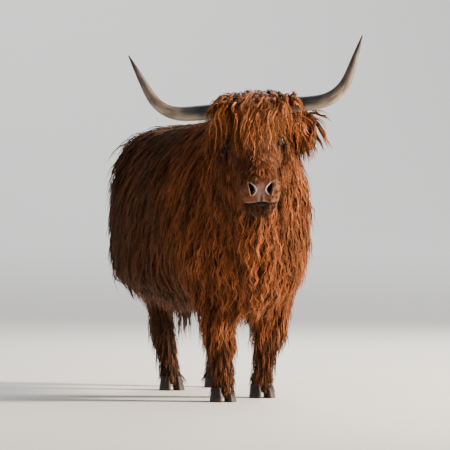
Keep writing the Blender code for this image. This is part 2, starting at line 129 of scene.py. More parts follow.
def ripple(points: Array, size: float, seed: int) -> Array:
    """Smooth noise from -1 to 1: the mean of five plane waves in fixed random directions.

    Args:
        points: Places to read, one in a row.
        size: The mean wavelength.
        seed: Which noise.

    Returns:
        One value for each point.
    """
    rng = np.random.default_rng(seed)
    waves = unit(rng.normal(size=(5, 3))) * (FULL_TURN / (size * rng.uniform(0.7, 1.4, (5, 1))))
    return np.mean(np.sin(points @ waves.T + rng.uniform(0, 6.28, 5)), axis=1) * 1.6


# ---- Meshes ----------------------------------------------------------------------------------
@dataclass
class Surface:
    """A triangle surface with a colour at each corner point.

    Attributes:
        verts: Points, one in a row.
        faces: Point numbers of each triangle.
        colours: Linear red, green and blue of each point.
    """

    verts: Array
    faces: Array
    colours: Array

    def normals(self) -> Array:
        """Unit normals of the points: the sum of the cross products of the triangles around each."""
        a, b, c = (self.verts[self.faces[:, k]] for k in range(3))
        cross = np.cross(b - a, c - a)
        total = np.zeros_like(self.verts)
        for k in range(3):
            for axis in range(3):
                weights = cross[:, axis]
                total[:, axis] += np.bincount(self.faces[:, k], weights, minlength=len(self.verts))
        return unit(total)

    def smoothed(self, rounds: int, share: float = 0.5) -> Surface:
        """Each point moved part of the way to the mean of its neighbours, some rounds over."""
        starts = self.faces.ravel()
        ends = self.faces[:, (1, 2, 0)].ravel()
        count = np.bincount(starts, minlength=len(self.verts))[:, None]
        verts = self.verts.copy()
        for _ in range(rounds):
            near = np.stack(
                [np.bincount(starts, verts[ends, axis], minlength=len(verts)) for axis in range(3)], axis=1
            )
            verts += share * (near / np.maximum(count, 1) - verts)
        return Surface(verts, self.faces, self.colours)

    def joined(self, other: Surface) -> Surface:
        """This surface and another as one."""
        faces = np.vstack((self.faces, other.faces + len(self.verts)))
        verts, colours = np.vstack((self.verts, other.verts)), np.vstack((self.colours, other.colours))
        return Surface(verts, faces, colours)

    def outward(self) -> Surface:
        """The surface with all faces turned over where its volume would be negative."""
        a, b, c = (self.verts[self.faces[:, k]] for k in range(3))
        inside_out = np.sum(dot(a - a.mean(0), np.cross(b - a, c - a))) < 0
        return Surface(self.verts, self.faces[:, ::-1].copy(), self.colours) if inside_out else self

    def mesh(self, name: str) -> Mesh:
        """The surface as a mesh, its colours stored as the tint."""
        made = new_mesh(name, self.verts, self.faces.ravel(), np.arange(len(self.faces)) * 3)
        paint(made, self.colours)
        return made


def grid_surface(points: Array, colours: Array) -> Surface:
    """The surface over rings of points, each ring closed, its two ends drawn to poles.

    Args:
        points: Rings by places on the ring by three.
        colours: The same for colours.

    Returns:
        Triangles that face outwards.
    """
    rings, around = points.shape[:2]
    i, j = np.meshgrid(np.arange(rings - 1), np.arange(around), indexing="ij")
    a, b = i * around + j, i * around + (j + 1) % around
    quads = np.stack((a, b, b + around, a + around), -1).reshape(-1, 4)
    faces = [quads[:, (0, 1, 2)], quads[:, (0, 2, 3)]]
    verts, tints = [points.reshape(-1, 3)], [colours.reshape(-1, 3)]
    for number, end in enumerate((rings - 1, 0)):
        rim = end * around + np.arange(around)
        fan = np.stack((rim, np.roll(rim, -1), np.full(around, rings * around + number)), -1)
        faces.append(fan if end else fan[:, ::-1])
        verts.append(points[end].mean(0)[None])
        tints.append(colours[end].mean(0)[None])
    return Surface(np.vstack(verts), np.vstack(faces), np.vstack(tints)).outward()


def new_mesh(name: str, verts: Array, loops: Array, starts: Array) -> Mesh:
    """A mesh from flat arrays.

    Args:
        name: The mesh's name.
        verts: Points.
        loops: The point number of each face corner in turn.
        starts: Where each face starts among the corners.

    Returns:
        The mesh, smooth shaded.
    """
    mesh = bpy.data.meshes.new(name)
    mesh.vertices.add(len(verts))
    mesh.vertices.foreach_set("co", np.ascontiguousarray(verts, np.float32).ravel())
    mesh.loops.add(len(loops))
    mesh.loops.foreach_set("vertex_index", np.ascontiguousarray(loops, np.int32))
    mesh.polygons.add(len(starts))
    mesh.polygons.foreach_set("loop_start", np.ascontiguousarray(starts, np.int32))
    mesh.update(calc_edges=True)
    mesh.shade_smooth()
    return mesh


def paint(mesh: Mesh, colours: Array) -> None:
    """Stores a colour for each point as the mesh's tint."""
    rgba = np.ones((len(colours), 4), np.float32)
    rgba[:, :3] = colours
    tint = mesh.color_attributes.new(name="tint", type="FLOAT_COLOR", domain="POINT")
    tint.data.foreach_set("color", rgba.ravel())


def lay_map(mesh: Mesh, name: str, places: Array) -> None:
    """Stores a place for each face corner as one of the mesh's maps."""
    layer = mesh.uv_layers.new(name=name)
    layer.data.foreach_set("uv", np.ascontiguousarray(places, np.float32).ravel())


def triangles_of(mesh: Mesh) -> tuple[Array, Array]:
    """Points and triangles of a mesh."""
    mesh.calc_loop_triangles()
    verts, faces = np.empty(len(mesh.vertices) * 3), np.empty(len(mesh.loop_triangles) * 3, int)
    mesh.vertices.foreach_get("co", verts)
    mesh.loop_triangles.foreach_get("vertices", faces)
    return verts.reshape(-1, 3), faces.reshape(-1, 3)


def modified(thing: Object) -> tuple[Array, Array]:
    """Points and triangles of an object with its modifiers applied."""
    bpy.context.view_layer.update()
    return triangles_of(thing.evaluated_get(bpy.context.evaluated_depsgraph_get()).to_mesh())


def placed(name: str, data: ID) -> Object:
    """A new object in the scene, at the origin."""
    made = bpy.data.objects.new(name, data)
    bpy.context.scene.collection.objects.link(made)
    return made


def add_piece(mesh: Mesh, slot: str, material: Material, *nodes: str) -> Object:
    """Puts a mesh in the scene as a piece of the cow and logs it.

    Args:
        mesh: The finished mesh, whose name the piece takes.
        slot: The record's material slot; not used.
        material: What it is dressed in.
        nodes: The solids that it stands for.

    Returns:
        The new object.
    """
    piece = placed(mesh.name, mesh)
    mesh.materials.append(material)
    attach(piece, BODY)
    if nodes:
        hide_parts(*nodes)
    log.info("%s: %d faces", mesh.name, len(mesh.polygons))
    return piece


# ---- Where things are ------------------------------------------------------------------------
def box_of(node: str) -> tuple[Array, Array]:
    """Lowest and highest corner of a solid."""
    low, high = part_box(node)
    return np.array(low), np.array(high)


def middle_of(node: str) -> Array:
    """The middle of a solid's box."""
    low, high = box_of(node)
    return (low + high) / 2


@dataclass(frozen=True)
class Stance:
    """Where the cow's own origin is: under its withers, halfway between its sides.

    Attributes:
        fore_foot: From that origin, how far across the left fore foot's middle is and how far
            along its heels are.
    """

    fore_foot: tuple[float, float] = (0.110, -0.167)

    @property
    def origin(self) -> Array:
        """The origin in the row's frame, read from the boxes of the left fore foot's claws."""
        boxes = np.array([box_of(f"claw_front_left_{side}") for side in ("left", "right")])
        low, high = boxes[:, 0].min(0), boxes[:, 1].max(0)
        return np.array(((low[0] + high[0]) / 2 - self.fore_foot[0], high[1] - self.fore_foot[1], 0.0))


@dataclass(frozen=True)
class HeadFrame:
    """The head's frame: across to its left, along from poll to muzzle, above out of its brow.

    Attributes:
        pitch: How far the face slopes below level.
        eye: The left eye's place in the frame, across, along and above.
        look: Which way that eye looks.
        inset: How much deeper than its solid an eyeball sits.
    """

    pitch: float = math.radians(47.0)
    eye: tuple[float, float, float] = (0.107, 0.178, -0.045)
    look: tuple[float, float, float] = (0.80, 0.39, 0.43)
    inset: float = 0.0065

    @property
    def axes(self) -> Array:
        """Rows: left, from eye to eye, and along and above, turned down from level by the pitch."""
        left = unit(middle_of("eye_left") - middle_of("eye_right"))
        forward, rise = np.cross(unit(left * (1, 1, 0)), UP), unit(UP - left * left[2])
        along = forward * math.cos(self.pitch) - rise * math.sin(self.pitch)
        above = forward * math.sin(self.pitch) + rise * math.cos(self.pitch)
        return np.stack((left, along, above))

    @property
    def origin(self) -> Array:
        """The poll."""
        middle = (middle_of("eye_left") + middle_of("eye_right")) / 2
        return middle - self.eye[1] * self.axes[1] - self.eye[2] * self.axes[2]

    def world(self, places: Array) -> Array:
        """Points of the row's frame at head coordinates."""
        return self.origin + np.asarray(places, float) @ self.axes

    def local(self, points: Array) -> Array:
        """Head coordinates of points of the row's frame."""
        return (points - self.origin) @ self.axes.T

    def eye_seat(self, side: int) -> tuple[Array, Array]:
        """Where an eyeball sits, a little deeper than its solid.

        Args:
            side: 1 for the left eye, -1 for the right.

        Returns:
            Its centre and its line of sight, in head coordinates.
        """
        sight = unit(self.look * np.array((side, 1, 1)))
        return self.eye * np.array((side, 1, 1)) - self.inset * sight, sight


STANCE = Stance().origin
HEAD = HeadFrame()
HEAD_AXES = HEAD.axes
HEAD_FORWARD = np.cross(unit(HEAD_AXES[0] * (1, 1, 0)), UP)  # level, the way the face looks
HEAD_RISE = unit(UP - HEAD_AXES[0] * HEAD_AXES[0, 2])  # up, square to the head's left


# ---- Colours ---------------------------------------------------------------------------------
class Tint(Enum):
    """Named colours, linear red, green and blue."""

    # painted shade: the dark deep in the coat, at the roots of the tufts and on the hide under them
    ROOT = (0.016, 0.0055, 0.0028)
    RUST = (0.205, 0.056, 0.0170)
    # painted shade: the darker, cooler coat of the barrel and rump
    FLANK_SHADE = (0.080, 0.034, 0.0195)
    # golden tint: partly the lighter hair of tips and crown, partly painted highlight
    GOLD_AND_HIGHLIGHT = (0.560, 0.200, 0.0560)
    MUD = (0.050, 0.020, 0.0105)
    FACE = (0.180, 0.053, 0.0180)
    WING = (0.225, 0.082, 0.0380)
    PAD = (0.250, 0.150, 0.132)
    # pale inner rims of the nostrils: partly the rims' own pink, partly painted highlight of wet hide
    PAD_RIM_AND_HIGHLIGHT = (0.680, 0.460, 0.400)
    # dark lip hide, also used as painted shade in the mouth, down the philtrum and under the lower lip
    LIP_AND_SHADE = (0.030, 0.014, 0.011)
    # painted shade: the dark inside the nostrils
    NOSTRIL_SHADE = (0.012, 0.006, 0.006)
    LID = (0.016, 0.008, 0.006)
    HORN_SLATE = (0.030, 0.030, 0.036)
    HORN_CREAM = (0.340, 0.255, 0.185)
    HORN_BROWN = (0.110, 0.080, 0.066)
    HORN_TIP = (0.040, 0.032, 0.033)
    CLAW = (0.022, 0.015, 0.012)
    CLAW_PALE = (0.085, 0.058, 0.040)
    PUPIL = (0.004, 0.003, 0.004)
    IRIS = (0.032, 0.014, 0.007)
    IRIS_RIM = (0.012, 0.008, 0.007)
    SCLERA = (0.030, 0.020, 0.016)

    @property
    def rgb(self) -> Array:
        """The colour as an array."""
        return np.array(self.value)


def mix(first: Array, second: Array, share: Array) -> Array:
    """A blend of two colours or rows of colours, by a share for each row."""
    share = np.asarray(share, float)[..., None]
    return first * (1 - share) + second * share


def layered(colour: Array, *layers: tuple[Array, Array]) -> Array:
    """A colour under layers of others, each a colour and its share, from the lowest up."""
    for tint, share in layers:
        colour = mix(colour, tint, share)
    return colour


def coat_colour(points: Array) -> Array:
    """The coat's colour over the body, which skin and hair share.

    Rust all over; darker and duller in patches over the barrel and rump, as painted shade; browner on the
    face, muddy at the chin, golden on the crown, partly lighter hair and partly painted highlight, and
    muddy down the legs.

    Args:
        points: Places in the row's frame.

    Returns:
        A colour for each point.
    """
    back, up = (points - STANCE).T[1:]
    _, along, above = HEAD.local(points).T
    on_head = ramp(along, -0.10, 0.02) * ramp(above, -0.30, -0.22)
    chin = on_head * ramp(along, 0.36, 0.42) * ramp(above, -0.085, -0.105)
    crown = bell(along, 0.02, 0.16) * ramp(above, -0.14, -0.04) * ramp(up, 1.05, 1.15)
    legs = ramp(up, 0.34, 0.12) * (0.75 + 0.25 * ripple(points, 0.12, 8))
    return layered(
        np.broadcast_to(Tint.RUST.rgb, points.shape),
        # painted shade: barrel and rump darker than the breast
        (Tint.FLANK_SHADE.rgb, ramp(back, -0.45, 0.05)),
        (Tint.RUST.rgb, 0.35 * (0.5 + 0.5 * ripple(points, 0.35, 5))),
        (Tint.FACE.rgb, on_head * ramp(along, 0.10, 0.26)),
        (Tint.MUD.rgb, 0.75 * chin),
        # golden on the crown: partly lighter hair, partly painted highlight
        (mix(Tint.RUST.rgb, Tint.GOLD_AND_HIGHLIGHT.rgb, 0.22), 0.8 * crown),
        (Tint.MUD.rgb, np.clip(0.85 * legs, 0, 1)),
    )


# ---- Finishes --------------------------------------------------------------------------------
class Dressing:
    """A material in the making: nodes that end in its Principled shader."""

    def __init__(self, name: str) -> None:
        """Makes the material, with a shader that isn't dressed yet."""
        self.material = bpy.data.materials.new(name)
        self.material.use_nodes = True
        self.tree = self.material.node_tree

    def plug(self, target: Node, inputs: dict) -> None:
        """Links a node's inputs to sockets, or sets them to values.

        Args:
            target: The node.
            inputs: Input name or number to an output socket, or to a value.
        """
        for key, value in inputs.items():
            if isinstance(value, NodeSocket):
                self.tree.links.new(value, target.inputs[key])
            else:
                target.inputs[key].default_value = value

    def node(self, kind: str, inputs: dict, output: str | int = 0, **settings: object) -> NodeSocket:
        """Adds a node.

        Args:
            kind: Its type, less the words that all types start with.
            inputs: What goes in, as for plug.
            output: Which of its outputs is wanted.
            settings: Properties of the node itself.

        Returns:
            The output.
        """
        made = self.tree.nodes.new("ShaderNode" + kind)
        for key, value in settings.items():
            setattr(made, key, value)
        self.plug(made, inputs)
        return made.outputs[output]

    def attribute(self, name: str, output: str = "Color") -> NodeSocket:
        """One of the mesh's attributes."""
        return self.node("Attribute", {}, output, attribute_name=name)

    def chart(self, name: str) -> NodeSocket:
        """One of the mesh's maps."""
        return self.node("UVMap", {}, "UV", uv_map=name)

    def noise(self, place: NodeSocket, stretch: tuple | None, scale: float, detail: float) -> NodeSocket:
        """Noise over places.

        Args:
            place: The places.
            stretch: Factors on the places, where the noise is drawn out.
            scale: How fine it is.
            detail: How many finer layers it has.

        Returns:
            The noise, about 0 to 1.
        """
        if stretch:
            place = self.node("Mapping", {"Vector": place, "Scale": stretch}, "Vector")
        return self.node("TexNoise", {"Vector": place, "Scale": scale, "Detail": detail}, "Fac")

    def remap(self, value: NodeSocket, *limits: float) -> NodeSocket:
        """A value carried from one range to another: from low, from high, to low, to high."""
        return self.node("MapRange", {"Value": value, **dict(enumerate(limits, 1))}, "Result")

    def either(self, share: NodeSocket, first: object, second: object) -> NodeSocket:
        """The first value where the share is 0, the second where it is 1."""
        return self.node("Mix", {"Factor": share, 2: first, 3: second})

    def finished(self, looks: dict) -> Material:
        """The material, its shader's inputs set or linked."""
        self.plug(self.tree.nodes["Principled BSDF"], looks)
        return self.material

    def patterned(
        self, shade: NodeSocket, relief: NodeSocket, strength: float, depth: float, looks: dict
    ) -> Material:
        """The material in its tint times a shade, with a relief.

        Args:
            shade: Factor on the tint.
            relief: Height of the bumps.
            strength: How much of the relief shows.
            depth: Its depth in metres.
            looks: The shader's other inputs.

        Returns:
            The material.
        """
        tinted = {0: self.attribute("tint"), "Scale": shade}
        colour = self.node("VectorMath", tinted, "Vector", operation="SCALE")
        normal = self.node("Bump", {"Height": relief, "Strength": strength, "Distance": depth}, "Normal")
        return self.finished({"Base Color": colour, "Normal": normal, **looks})


@dataclass(frozen=True)
class HairFinish:
    """Hair: the tuft's own colour, parted into fine streaks along its length, with painted shade in the gaps
    between them.

    Attributes:
        roughness: How dull the hair is.
        streaks: How many streaks lie side by side on a tuft.
        streak_depth: How dark the painted shade in the gaps between streaks is.
        sheen: How much soft light the coat catches at grazing angles.
        gleam: Colour of its highlights.
        bloom: Colour of its sheen.
    """

    roughness: float = 0.46
    streaks: float = 5.0
    streak_depth: float = 0.45
    sheen: float = 0.15
    gleam: tuple[float, float, float, float] = (1.0, 0.72, 0.48, 1.0)
    bloom: tuple[float, float, float, float] = (1.0, 0.62, 0.36, 1.0)

    def material(self) -> Material:
        """The tint, with painted shade between streaks that run along the tuft's own map."""
        made = Dressing("hair")
        streaks = made.noise(made.chart("tuft"), (self.streaks, 0.7, 1.0), 1.0, 2.0)
        # painted shade in the gaps between the streaks, where the relief is low
        shade = made.remap(streaks, 0.32, 0.62, 1.0 - self.streak_depth, 1.15)
        looks = {
            "Roughness": self.roughness,
            "Specular IOR Level": 0.18,
            "Specular Tint": self.gleam,
            "Sheen Weight": self.sheen,
            "Sheen Roughness": 0.4,
            "Sheen Tint": self.bloom,
        }
        return made.patterned(shade, streaks, 0.5, 0.0012, looks)


@dataclass(frozen=True)
class HideFinish:
    """Hide: skin with fine fur under the coat, and the moist bare pad of the nose.

    Attributes:
        roughness: Of the moist pad.
        dry: Roughness of the rest.
        pore: The size of the nose's grain.
        fur: Hairs to the metre across the body, and breaks to the metre down it.
    """

    roughness: float = 0.50
    dry: float = 0.85
    pore: float = 0.0035
    fur: tuple[float, float] = (420.0, 55.0)

    def material(self) -> Material:
        """The tint with strands of fur, or with blotches and pores where the hide is bare."""
        made = Dressing("hide")
        bare = made.attribute("bare", "Fac")
        place = made.node("TexCoord", {}, "Object")
        grain = {"Vector": place, "Scale": 1.0 / self.pore, "Smoothness": 0.4}
        pores = made.node("TexVoronoi", grain, "Distance", feature="SMOOTH_F1")
        fur = made.noise(place, (self.fur[0], self.fur[0], self.fur[1]), 1.0, 3.0)
        blotches = made.remap(made.noise(place, None, 60.0, 4.0), 0.3, 0.7, 0.74, 1.2)
        shade = made.either(bare, made.remap(fur, 0.32, 0.66, 0.45, 1.2), blotches)
        gloss = made.remap(bare, 0.0, 1.0, self.dry, self.roughness)
        looks = {"Roughness": gloss, "Specular IOR Level": 0.2}
        return made.patterned(shade, made.either(bare, fur, pores), 0.45, 0.0016, looks)


@dataclass(frozen=True)
class HornFinish:
    """Horn or hoof: streaked along its grain, with a soft polish.

    Attributes:
        name: The material's name.
        roughness: How dull it is.
        grain: How fine its fibres are.
        run: How many times longer than wide they are.
    """

    name: str
    roughness: float
    grain: float = 900.0
    run: float = 22.0

    def material(self) -> Material:
        """The tint with fibres along the piece's own map."""
        made = Dressing(self.name)
        fibres = made.noise(made.chart("grain"), (self.grain, self.grain / self.run, 1.0), 0.12, 5.0)
        shade = made.remap(fibres, 0.30, 0.70, 0.62, 1.22)
        return made.patterned(shade, fibres, 0.35, 0.001, {"Roughness": self.roughness})


@dataclass(frozen=True)
class EyeFinish:
    """A wet dark eye.

    Attributes:
        roughness: Of the ball itself.
        wet: How much of the tears' clear coat shows.
    """

    roughness: float = 0.25
    wet: float = 0.6

    def material(self) -> Material:
        """The tint under a clear wet coat."""
        made = Dressing("eyeball")
        looks = {
            "Base Color": made.attribute("tint"),
            "Roughness": self.roughness,
            "Specular IOR Level": 0.1,
            "Coat Weight": self.wet,
            "Coat IOR": 1.22,
            "Coat Roughness": 0.03,
        }
        return made.finished(looks)


@dataclass(frozen=True)
class FloorFinish:
    """The studio's even floor.

    Attributes:
        colour: Linear red, green and blue, and 1.
        roughness: How dull it is.
    """

    colour: tuple[float, float, float, float] = (0.80, 0.79, 0.77, 1.0)
    roughness: float = 0.9

    def material(self) -> Material:
        """One plain dull colour."""
        looks = {"Base Color": self.colour, "Roughness": self.roughness, "Specular IOR Level": 0.1}
        return Dressing("studio_floor").finished(looks)


# ---- The skin --------------------------------------------------------------------------------
@dataclass(frozen=True)
class BodySkin:
    """The hide of trunk, neck and legs, drawn in from the solids by the depth of the coat.

    Attributes:
        voxel: The mesh size of the fused hide.
        flank_depth: Of the coat over the barrel.
        belly_depth: Of the hair that hangs under the belly.
        breast_depth: Over the breast and neck.
        shin_depth: On the lower legs.
        tail_depth: On the dock of the tail.
        switch_depth: On the end of the tail.
        spine_depth: Along the back.
        hoof_depth: Where the hide meets the claws.
        steps: How many steps the hide is drawn in by, smoothed after each.
        solids: The solids that it fuses.
        throat: The throat's flesh inside the head's block: along, middle, half width, top and bottom.
    """

    voxel: float = 0.0150
    flank_depth: float = 0.032
    belly_depth: float = 0.075
    breast_depth: float = 0.048
    shin_depth: float = 0.017
    tail_depth: float = 0.012
    switch_depth: float = 0.024
    spine_depth: float = 0.014
    hoof_depth: float = 0.006
    steps: int = 8
    solids: tuple[str, ...] = ("trunk", "neck", "tail", "tail_switch") + LEGS
    throat: tuple = (
        (-0.55, -0.015, 0.223, 1.226, 0.55),
        (-0.62, -0.027, 0.211, 1.234, 0.60),
        (-0.70, -0.040, 0.193, 1.238, 0.67),
        (-0.79, -0.058, 0.172, 1.234, 0.78),
        (-0.85, -0.070, 0.135, 1.205, 0.86),
        (-0.88, -0.076, 0.085, 1.140, 0.94),
        (-0.89, -0.078, 0.030, 1.080, 1.02),
    )

    def neck_core(self) -> Surface:
        """The flesh of throat and upper neck as upright elliptical rings."""
        along, x, half, top, bottom = through(self.throat, 30).T[:, :, None]
        turn = np.linspace(0, FULL_TURN, 48, endpoint=False)[None]
        z = (top + bottom) / 2 + (top - bottom) / 2 * np.sin(turn)
        points = np.stack((x + half * np.cos(turn), along + 0 * turn, z), -1) + STANCE
        return grid_surface(points, np.zeros_like(points))

    def fused(self, core: Surface) -> Surface:
        """The solids of the flesh and the cores of head and neck as one closed surface.

        Args:
            core: The head's.

        Returns:
            Their hull by a voxel remesh, without colour.
        """
        whole = core.joined(self.neck_core())
        for name in self.solids:
            verts, faces = triangles_of(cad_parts[name].data)
            whole = whole.joined(Surface(verts, faces, np.zeros_like(verts)))
        source = placed("hide_source", whole.mesh("hide_source"))
        remesh = source.modifiers.new("fuse", "REMESH")
        remesh.mode, remesh.voxel_size = "VOXEL", self.voxel
        verts, faces = modified(source)
        bpy.data.objects.remove(source)
        return Surface(verts, faces, np.zeros_like(verts))

    def depth(self, points: Array, normals: Array) -> Array:
        """How far inside the solids the hide lies.

        Args:
            points: Places on the solids.
            normals: Of the solids there.

        Returns:
            A depth for each point: the flank's, moved to each next region's by the region's share.
        """
        _, y, z = (points - STANCE).T
        belly = ramp(normals[:, 2], -0.25, -0.85) * ramp(z, 0.28, 0.33) * ramp(z, 0.60, 0.50)
        tail = ramp(y, 0.865, 0.90)
        depth = np.full(len(points), self.flank_depth)
        depth += (self.spine_depth - depth) * ramp(normals[:, 2], 0.5, 0.95)
        depth -= 0.024 * self.hips(points - STANCE)
        for goal, share in (
            (self.breast_depth, ramp(y, -0.30, -0.55)),
            (self.belly_depth, belly),
            (self.shin_depth, ramp(z, 0.34, 0.20)),
            (self.hoof_depth, ramp(z, 0.07, 0.03)),
            (self.tail_depth, tail),
            (self.switch_depth, tail * ramp(z, 0.60, 0.50)),
        ):
            depth += (goal - depth) * share
        return depth

    @staticmethod
    def hips(place: Array) -> Array:
        """How near places are to the points of the hips, where the coat stands fullest."""
        level = bell(np.abs(place[:, 0]), 0.27, 0.15) * bell(place[:, 1], 0.58, 0.24)
        return level * bell(place[:, 2], 1.08, 0.13)

    def surface(self, core: Surface) -> Surface:
        """The hide: solids and cores fused and drawn inwards along their normals step by step.

        Args:
            core: The head's core.

        Returns:
            The hide in the coat's colour, darkened towards the root colour as painted shade under the coat.
        """
        skin = self.fused(core).smoothed(6)
        depth = self.depth(skin.verts, skin.normals())[:, None] / self.steps
        for _ in range(self.steps):
            skin = Surface(skin.verts - skin.normals() * depth, skin.faces, skin.colours).smoothed(2, 0.4)
        skin = skin.smoothed(4)
        # the hide is darkened towards the root colour: painted shade under the coat
        return Surface(skin.verts, skin.faces, mix(Tint.ROOT.rgb, coat_colour(skin.verts), 0.35))


@dataclass(frozen=True)
class HeadSkin:
    """The bare form of the head: skull, cheeks, brow, lids, muzzle, nostrils and lips.

    A grid of rings carried along the head's axis from the nape to the lips. Broad bulges and
    hollows move it along its normals, then the lids, the nostrils and the mouth.

    Attributes:
        rings: Rings along the head.
        around: Points on each ring.
        eye_radius: Of the eyeball.
        lid: Thickness of the lids.
        opening: Half length and half height of the gap between the lids.
        nostril: Across, along and above, of the nostril's inner corner.
        nostril_widths: From its middle line to the inner corner and to the wing.
        nostril_hole: Across, along and above, from a nostril's opening to its floor.
        roll: How far the muzzle is turned down to the left against the skull.
        shift: How far it is drawn to the left.
        fullness: How far the head's core is filled out for the neck's hide.
        stations: Along the head, half width, height of the brow and of the jaw.
        bulges: Height of a bulge on both sides, its place across, along and above, its radius, and
            how many times longer than wide it is.
    """

    rings: int = 256
    around: int = 232
    eye_radius: float = 0.0200
    lid: float = 0.0030
    opening: tuple[float, float] = (0.0180, 0.0105)
    nostril: tuple[float, float, float] = (0.0350, 0.434, -0.051)
    nostril_widths: tuple[float, float] = (0.0120, 0.0090)
    nostril_hole: tuple[float, float, float] = (0.0, -0.04224, -0.02256)
    roll: float = math.radians(5.0)
    shift: float = 0.006
    fullness: float = 0.020
    stations: tuple = (
        (-0.110, 0.070, -0.060, -0.150),
        (-0.060, 0.088, -0.030, -0.180),
        (-0.010, 0.100, -0.008, -0.206),
        (0.040, 0.111, 0.008, -0.228),
        (0.090, 0.115, 0.016, -0.238),
        (0.140, 0.116, 0.014, -0.236),
        (0.190, 0.108, 0.008, -0.220),
        (0.240, 0.091, 0.000, -0.194),
        (0.290, 0.077, -0.006, -0.168),
        (0.335, 0.0700, -0.009, -0.150),
        (0.375, 0.0705, -0.010, -0.142),
        (0.405, 0.0740, -0.014, -0.139),
        (0.428, 0.0755, -0.028, -0.137),
        (0.446, 0.0725, -0.048, -0.133),
        (0.460, 0.0620, -0.064, -0.124),
        (0.469, 0.0400, -0.077, -0.107),
        (0.472, 0.0100, -0.085, -0.095),
    )
    bulges: tuple = (
        (0.007, 0.092, 0.150, -0.010, 0.030, 1.0),  # ridge over the eye
        (0.006, 0.105, 0.180, -0.050, 0.032, 1.0),  # orbit
        (-0.005, 0.090, 0.225, -0.045, 0.022, 1.0),  # hollow before the eye
        (0.004, 0.088, 0.250, -0.095, 0.026, 2.2),  # crest of the cheek
        (0.010, 0.095, 0.110, -0.165, 0.060, 1.0),  # chewing muscle
        (-0.006, 0.075, 0.265, -0.140, 0.035, 1.0),  # hollow of the cheek
        (-0.003, 0.000, 0.160, 0.015, 0.035, 1.6),  # dish of the forehead
        (0.009, 0.064, 0.420, -0.064, 0.024, 1.0),  # wing of the nostril
        (-0.004, 0.066, 0.385, -0.045, 0.016, 1.0),  # groove behind the wing
        (0.004, 0.040, 0.452, -0.088, 0.022, 1.0),  # upper lip
        (0.003, 0.000, 0.440, -0.132, 0.030, 1.0),  # chin
        (0.005, 0.062, 0.400, -0.098, 0.026, 1.0),  # corner of the upper lip
    )

    def rings_of(self) -> Array:
        """Ring sizes, spaced evenly by the length of the profile so that the muzzle stays fine."""
        fine = through(self.stations, 1200)
        steps = np.linalg.norm(np.diff(fine * (1.0, 0.8, 1.0, 0.6), axis=0), axis=1)
        steps = steps * (1.0 + 1.4 * bell(fine[1:, 0], 0.435, 0.045) + 1.6 * bell(fine[1:, 0], 0.178, 0.035))
        length = np.concatenate(((0.0,), np.cumsum(steps)))
        even = np.linspace(0, length[-1], self.rings)
        return np.stack([np.interp(even, length, fine[:, k]) for k in range(4)], axis=1)

    def base(self) -> Array:
        """The plain form in head coordinates, rings by places around.

        A ring is a superellipse. Below its middle it narrows to the jaw, and above it to the
        bridge of the nose.
        """
        along, half, brow, jaw = (column[:, None] for column in self.rings_of().T)
        turn = np.linspace(0, FULL_TURN, self.around, endpoint=False)[None]
        x, z = (np.sign(wave) * np.abs(wave) ** (2 / 2.35) for wave in (np.cos(turn), np.sin(turn)))
        narrow_jaw = 1 - (0.26 - 0.16 * ramp(along, 0.30, 0.40)) * ramp(-z, 0.0, 1.0)
        narrow_top = 1 - 0.20 * bell(along, 0.30, 0.09) * ramp(z, 0.1, 1.0)
        middle, height = (brow + jaw) / 2, (brow - jaw) / 2
        return np.stack((x * half * narrow_jaw * narrow_top, along + 0 * turn, middle + z * height), -1)

    def core(self) -> Surface:
        """The plain form from the nape to the forehead, filled out, for the neck's hide to grow round."""
        local = self.base()[::5, ::5]
        local = local[local[:, 0, 1] < 0.10]
        local = local + self.grid_normals(local) * self.fullness
        return grid_surface(HEAD.world(local), np.zeros_like(local))

    @staticmethod
    def grid_normals(points: Array) -> Array:
        """Unit normals of the grid: the cross product of its two tangents."""
        ring = np.roll(points, -1, 1) - np.roll(points, 1, 1)
        way = np.gradient(points, axis=0)
        normals = unit(np.cross(way, ring))
        inside_out = np.sum(dot(normals, points - points.mean(1, keepdims=True))) < 0
        return -normals if inside_out else normals

    def broad_forms(self, points: Array) -> Array:
        """The bulges as bells, and folds behind the nostrils' wings.

        Args:
            points: Places on the plain form, in head coordinates.

        Returns:
            How far each moves along its normal.
        """
        side, along, above = np.abs(points[..., 0]), points[..., 1], points[..., 2]
        move = np.zeros(side.shape)
        for height, x, y, z, radius, drawn in self.bulges:
            far = (side - x) ** 2 + ((along - y) / drawn) ** 2 + (above - z) ** 2
            move += height * np.exp(-far / radius**2)
        folds = np.sin(along * 520 + above * 160) * bell(along, 0.385, 0.018) * bell(above, -0.035, 0.03)
        return move + 0.0006 * folds * ramp(side, 0.02, 0.05)

    def eye_places(self, points: Array, side: int) -> tuple[Array, Array, Array]:
        """Places as an eye sees them.

        Args:
            points: Head coordinates.
            side: 1 for the left eye, -1 for the right.

        Returns:
            From its centre: along the gap of its lids, across the gap, and outwards.
        """
        centre, axis = HEAD.eye_seat(side)
        first = unit(tangent(np.array((-side * 0.25, 0.93, -0.30)), axis))
        second = np.cross(axis, first)
        rel = points - centre
        return rel @ first, rel @ (second * np.sign(second[2])), rel @ axis

    def gap(self, x: Array, y: Array) -> Array:
        """The gap between the lids: an almond, below 1 inside it."""
        return (np.abs(x) / self.opening[0]) ** 1.7 + (np.abs(y + 0.0008) / self.opening[1]) ** 2

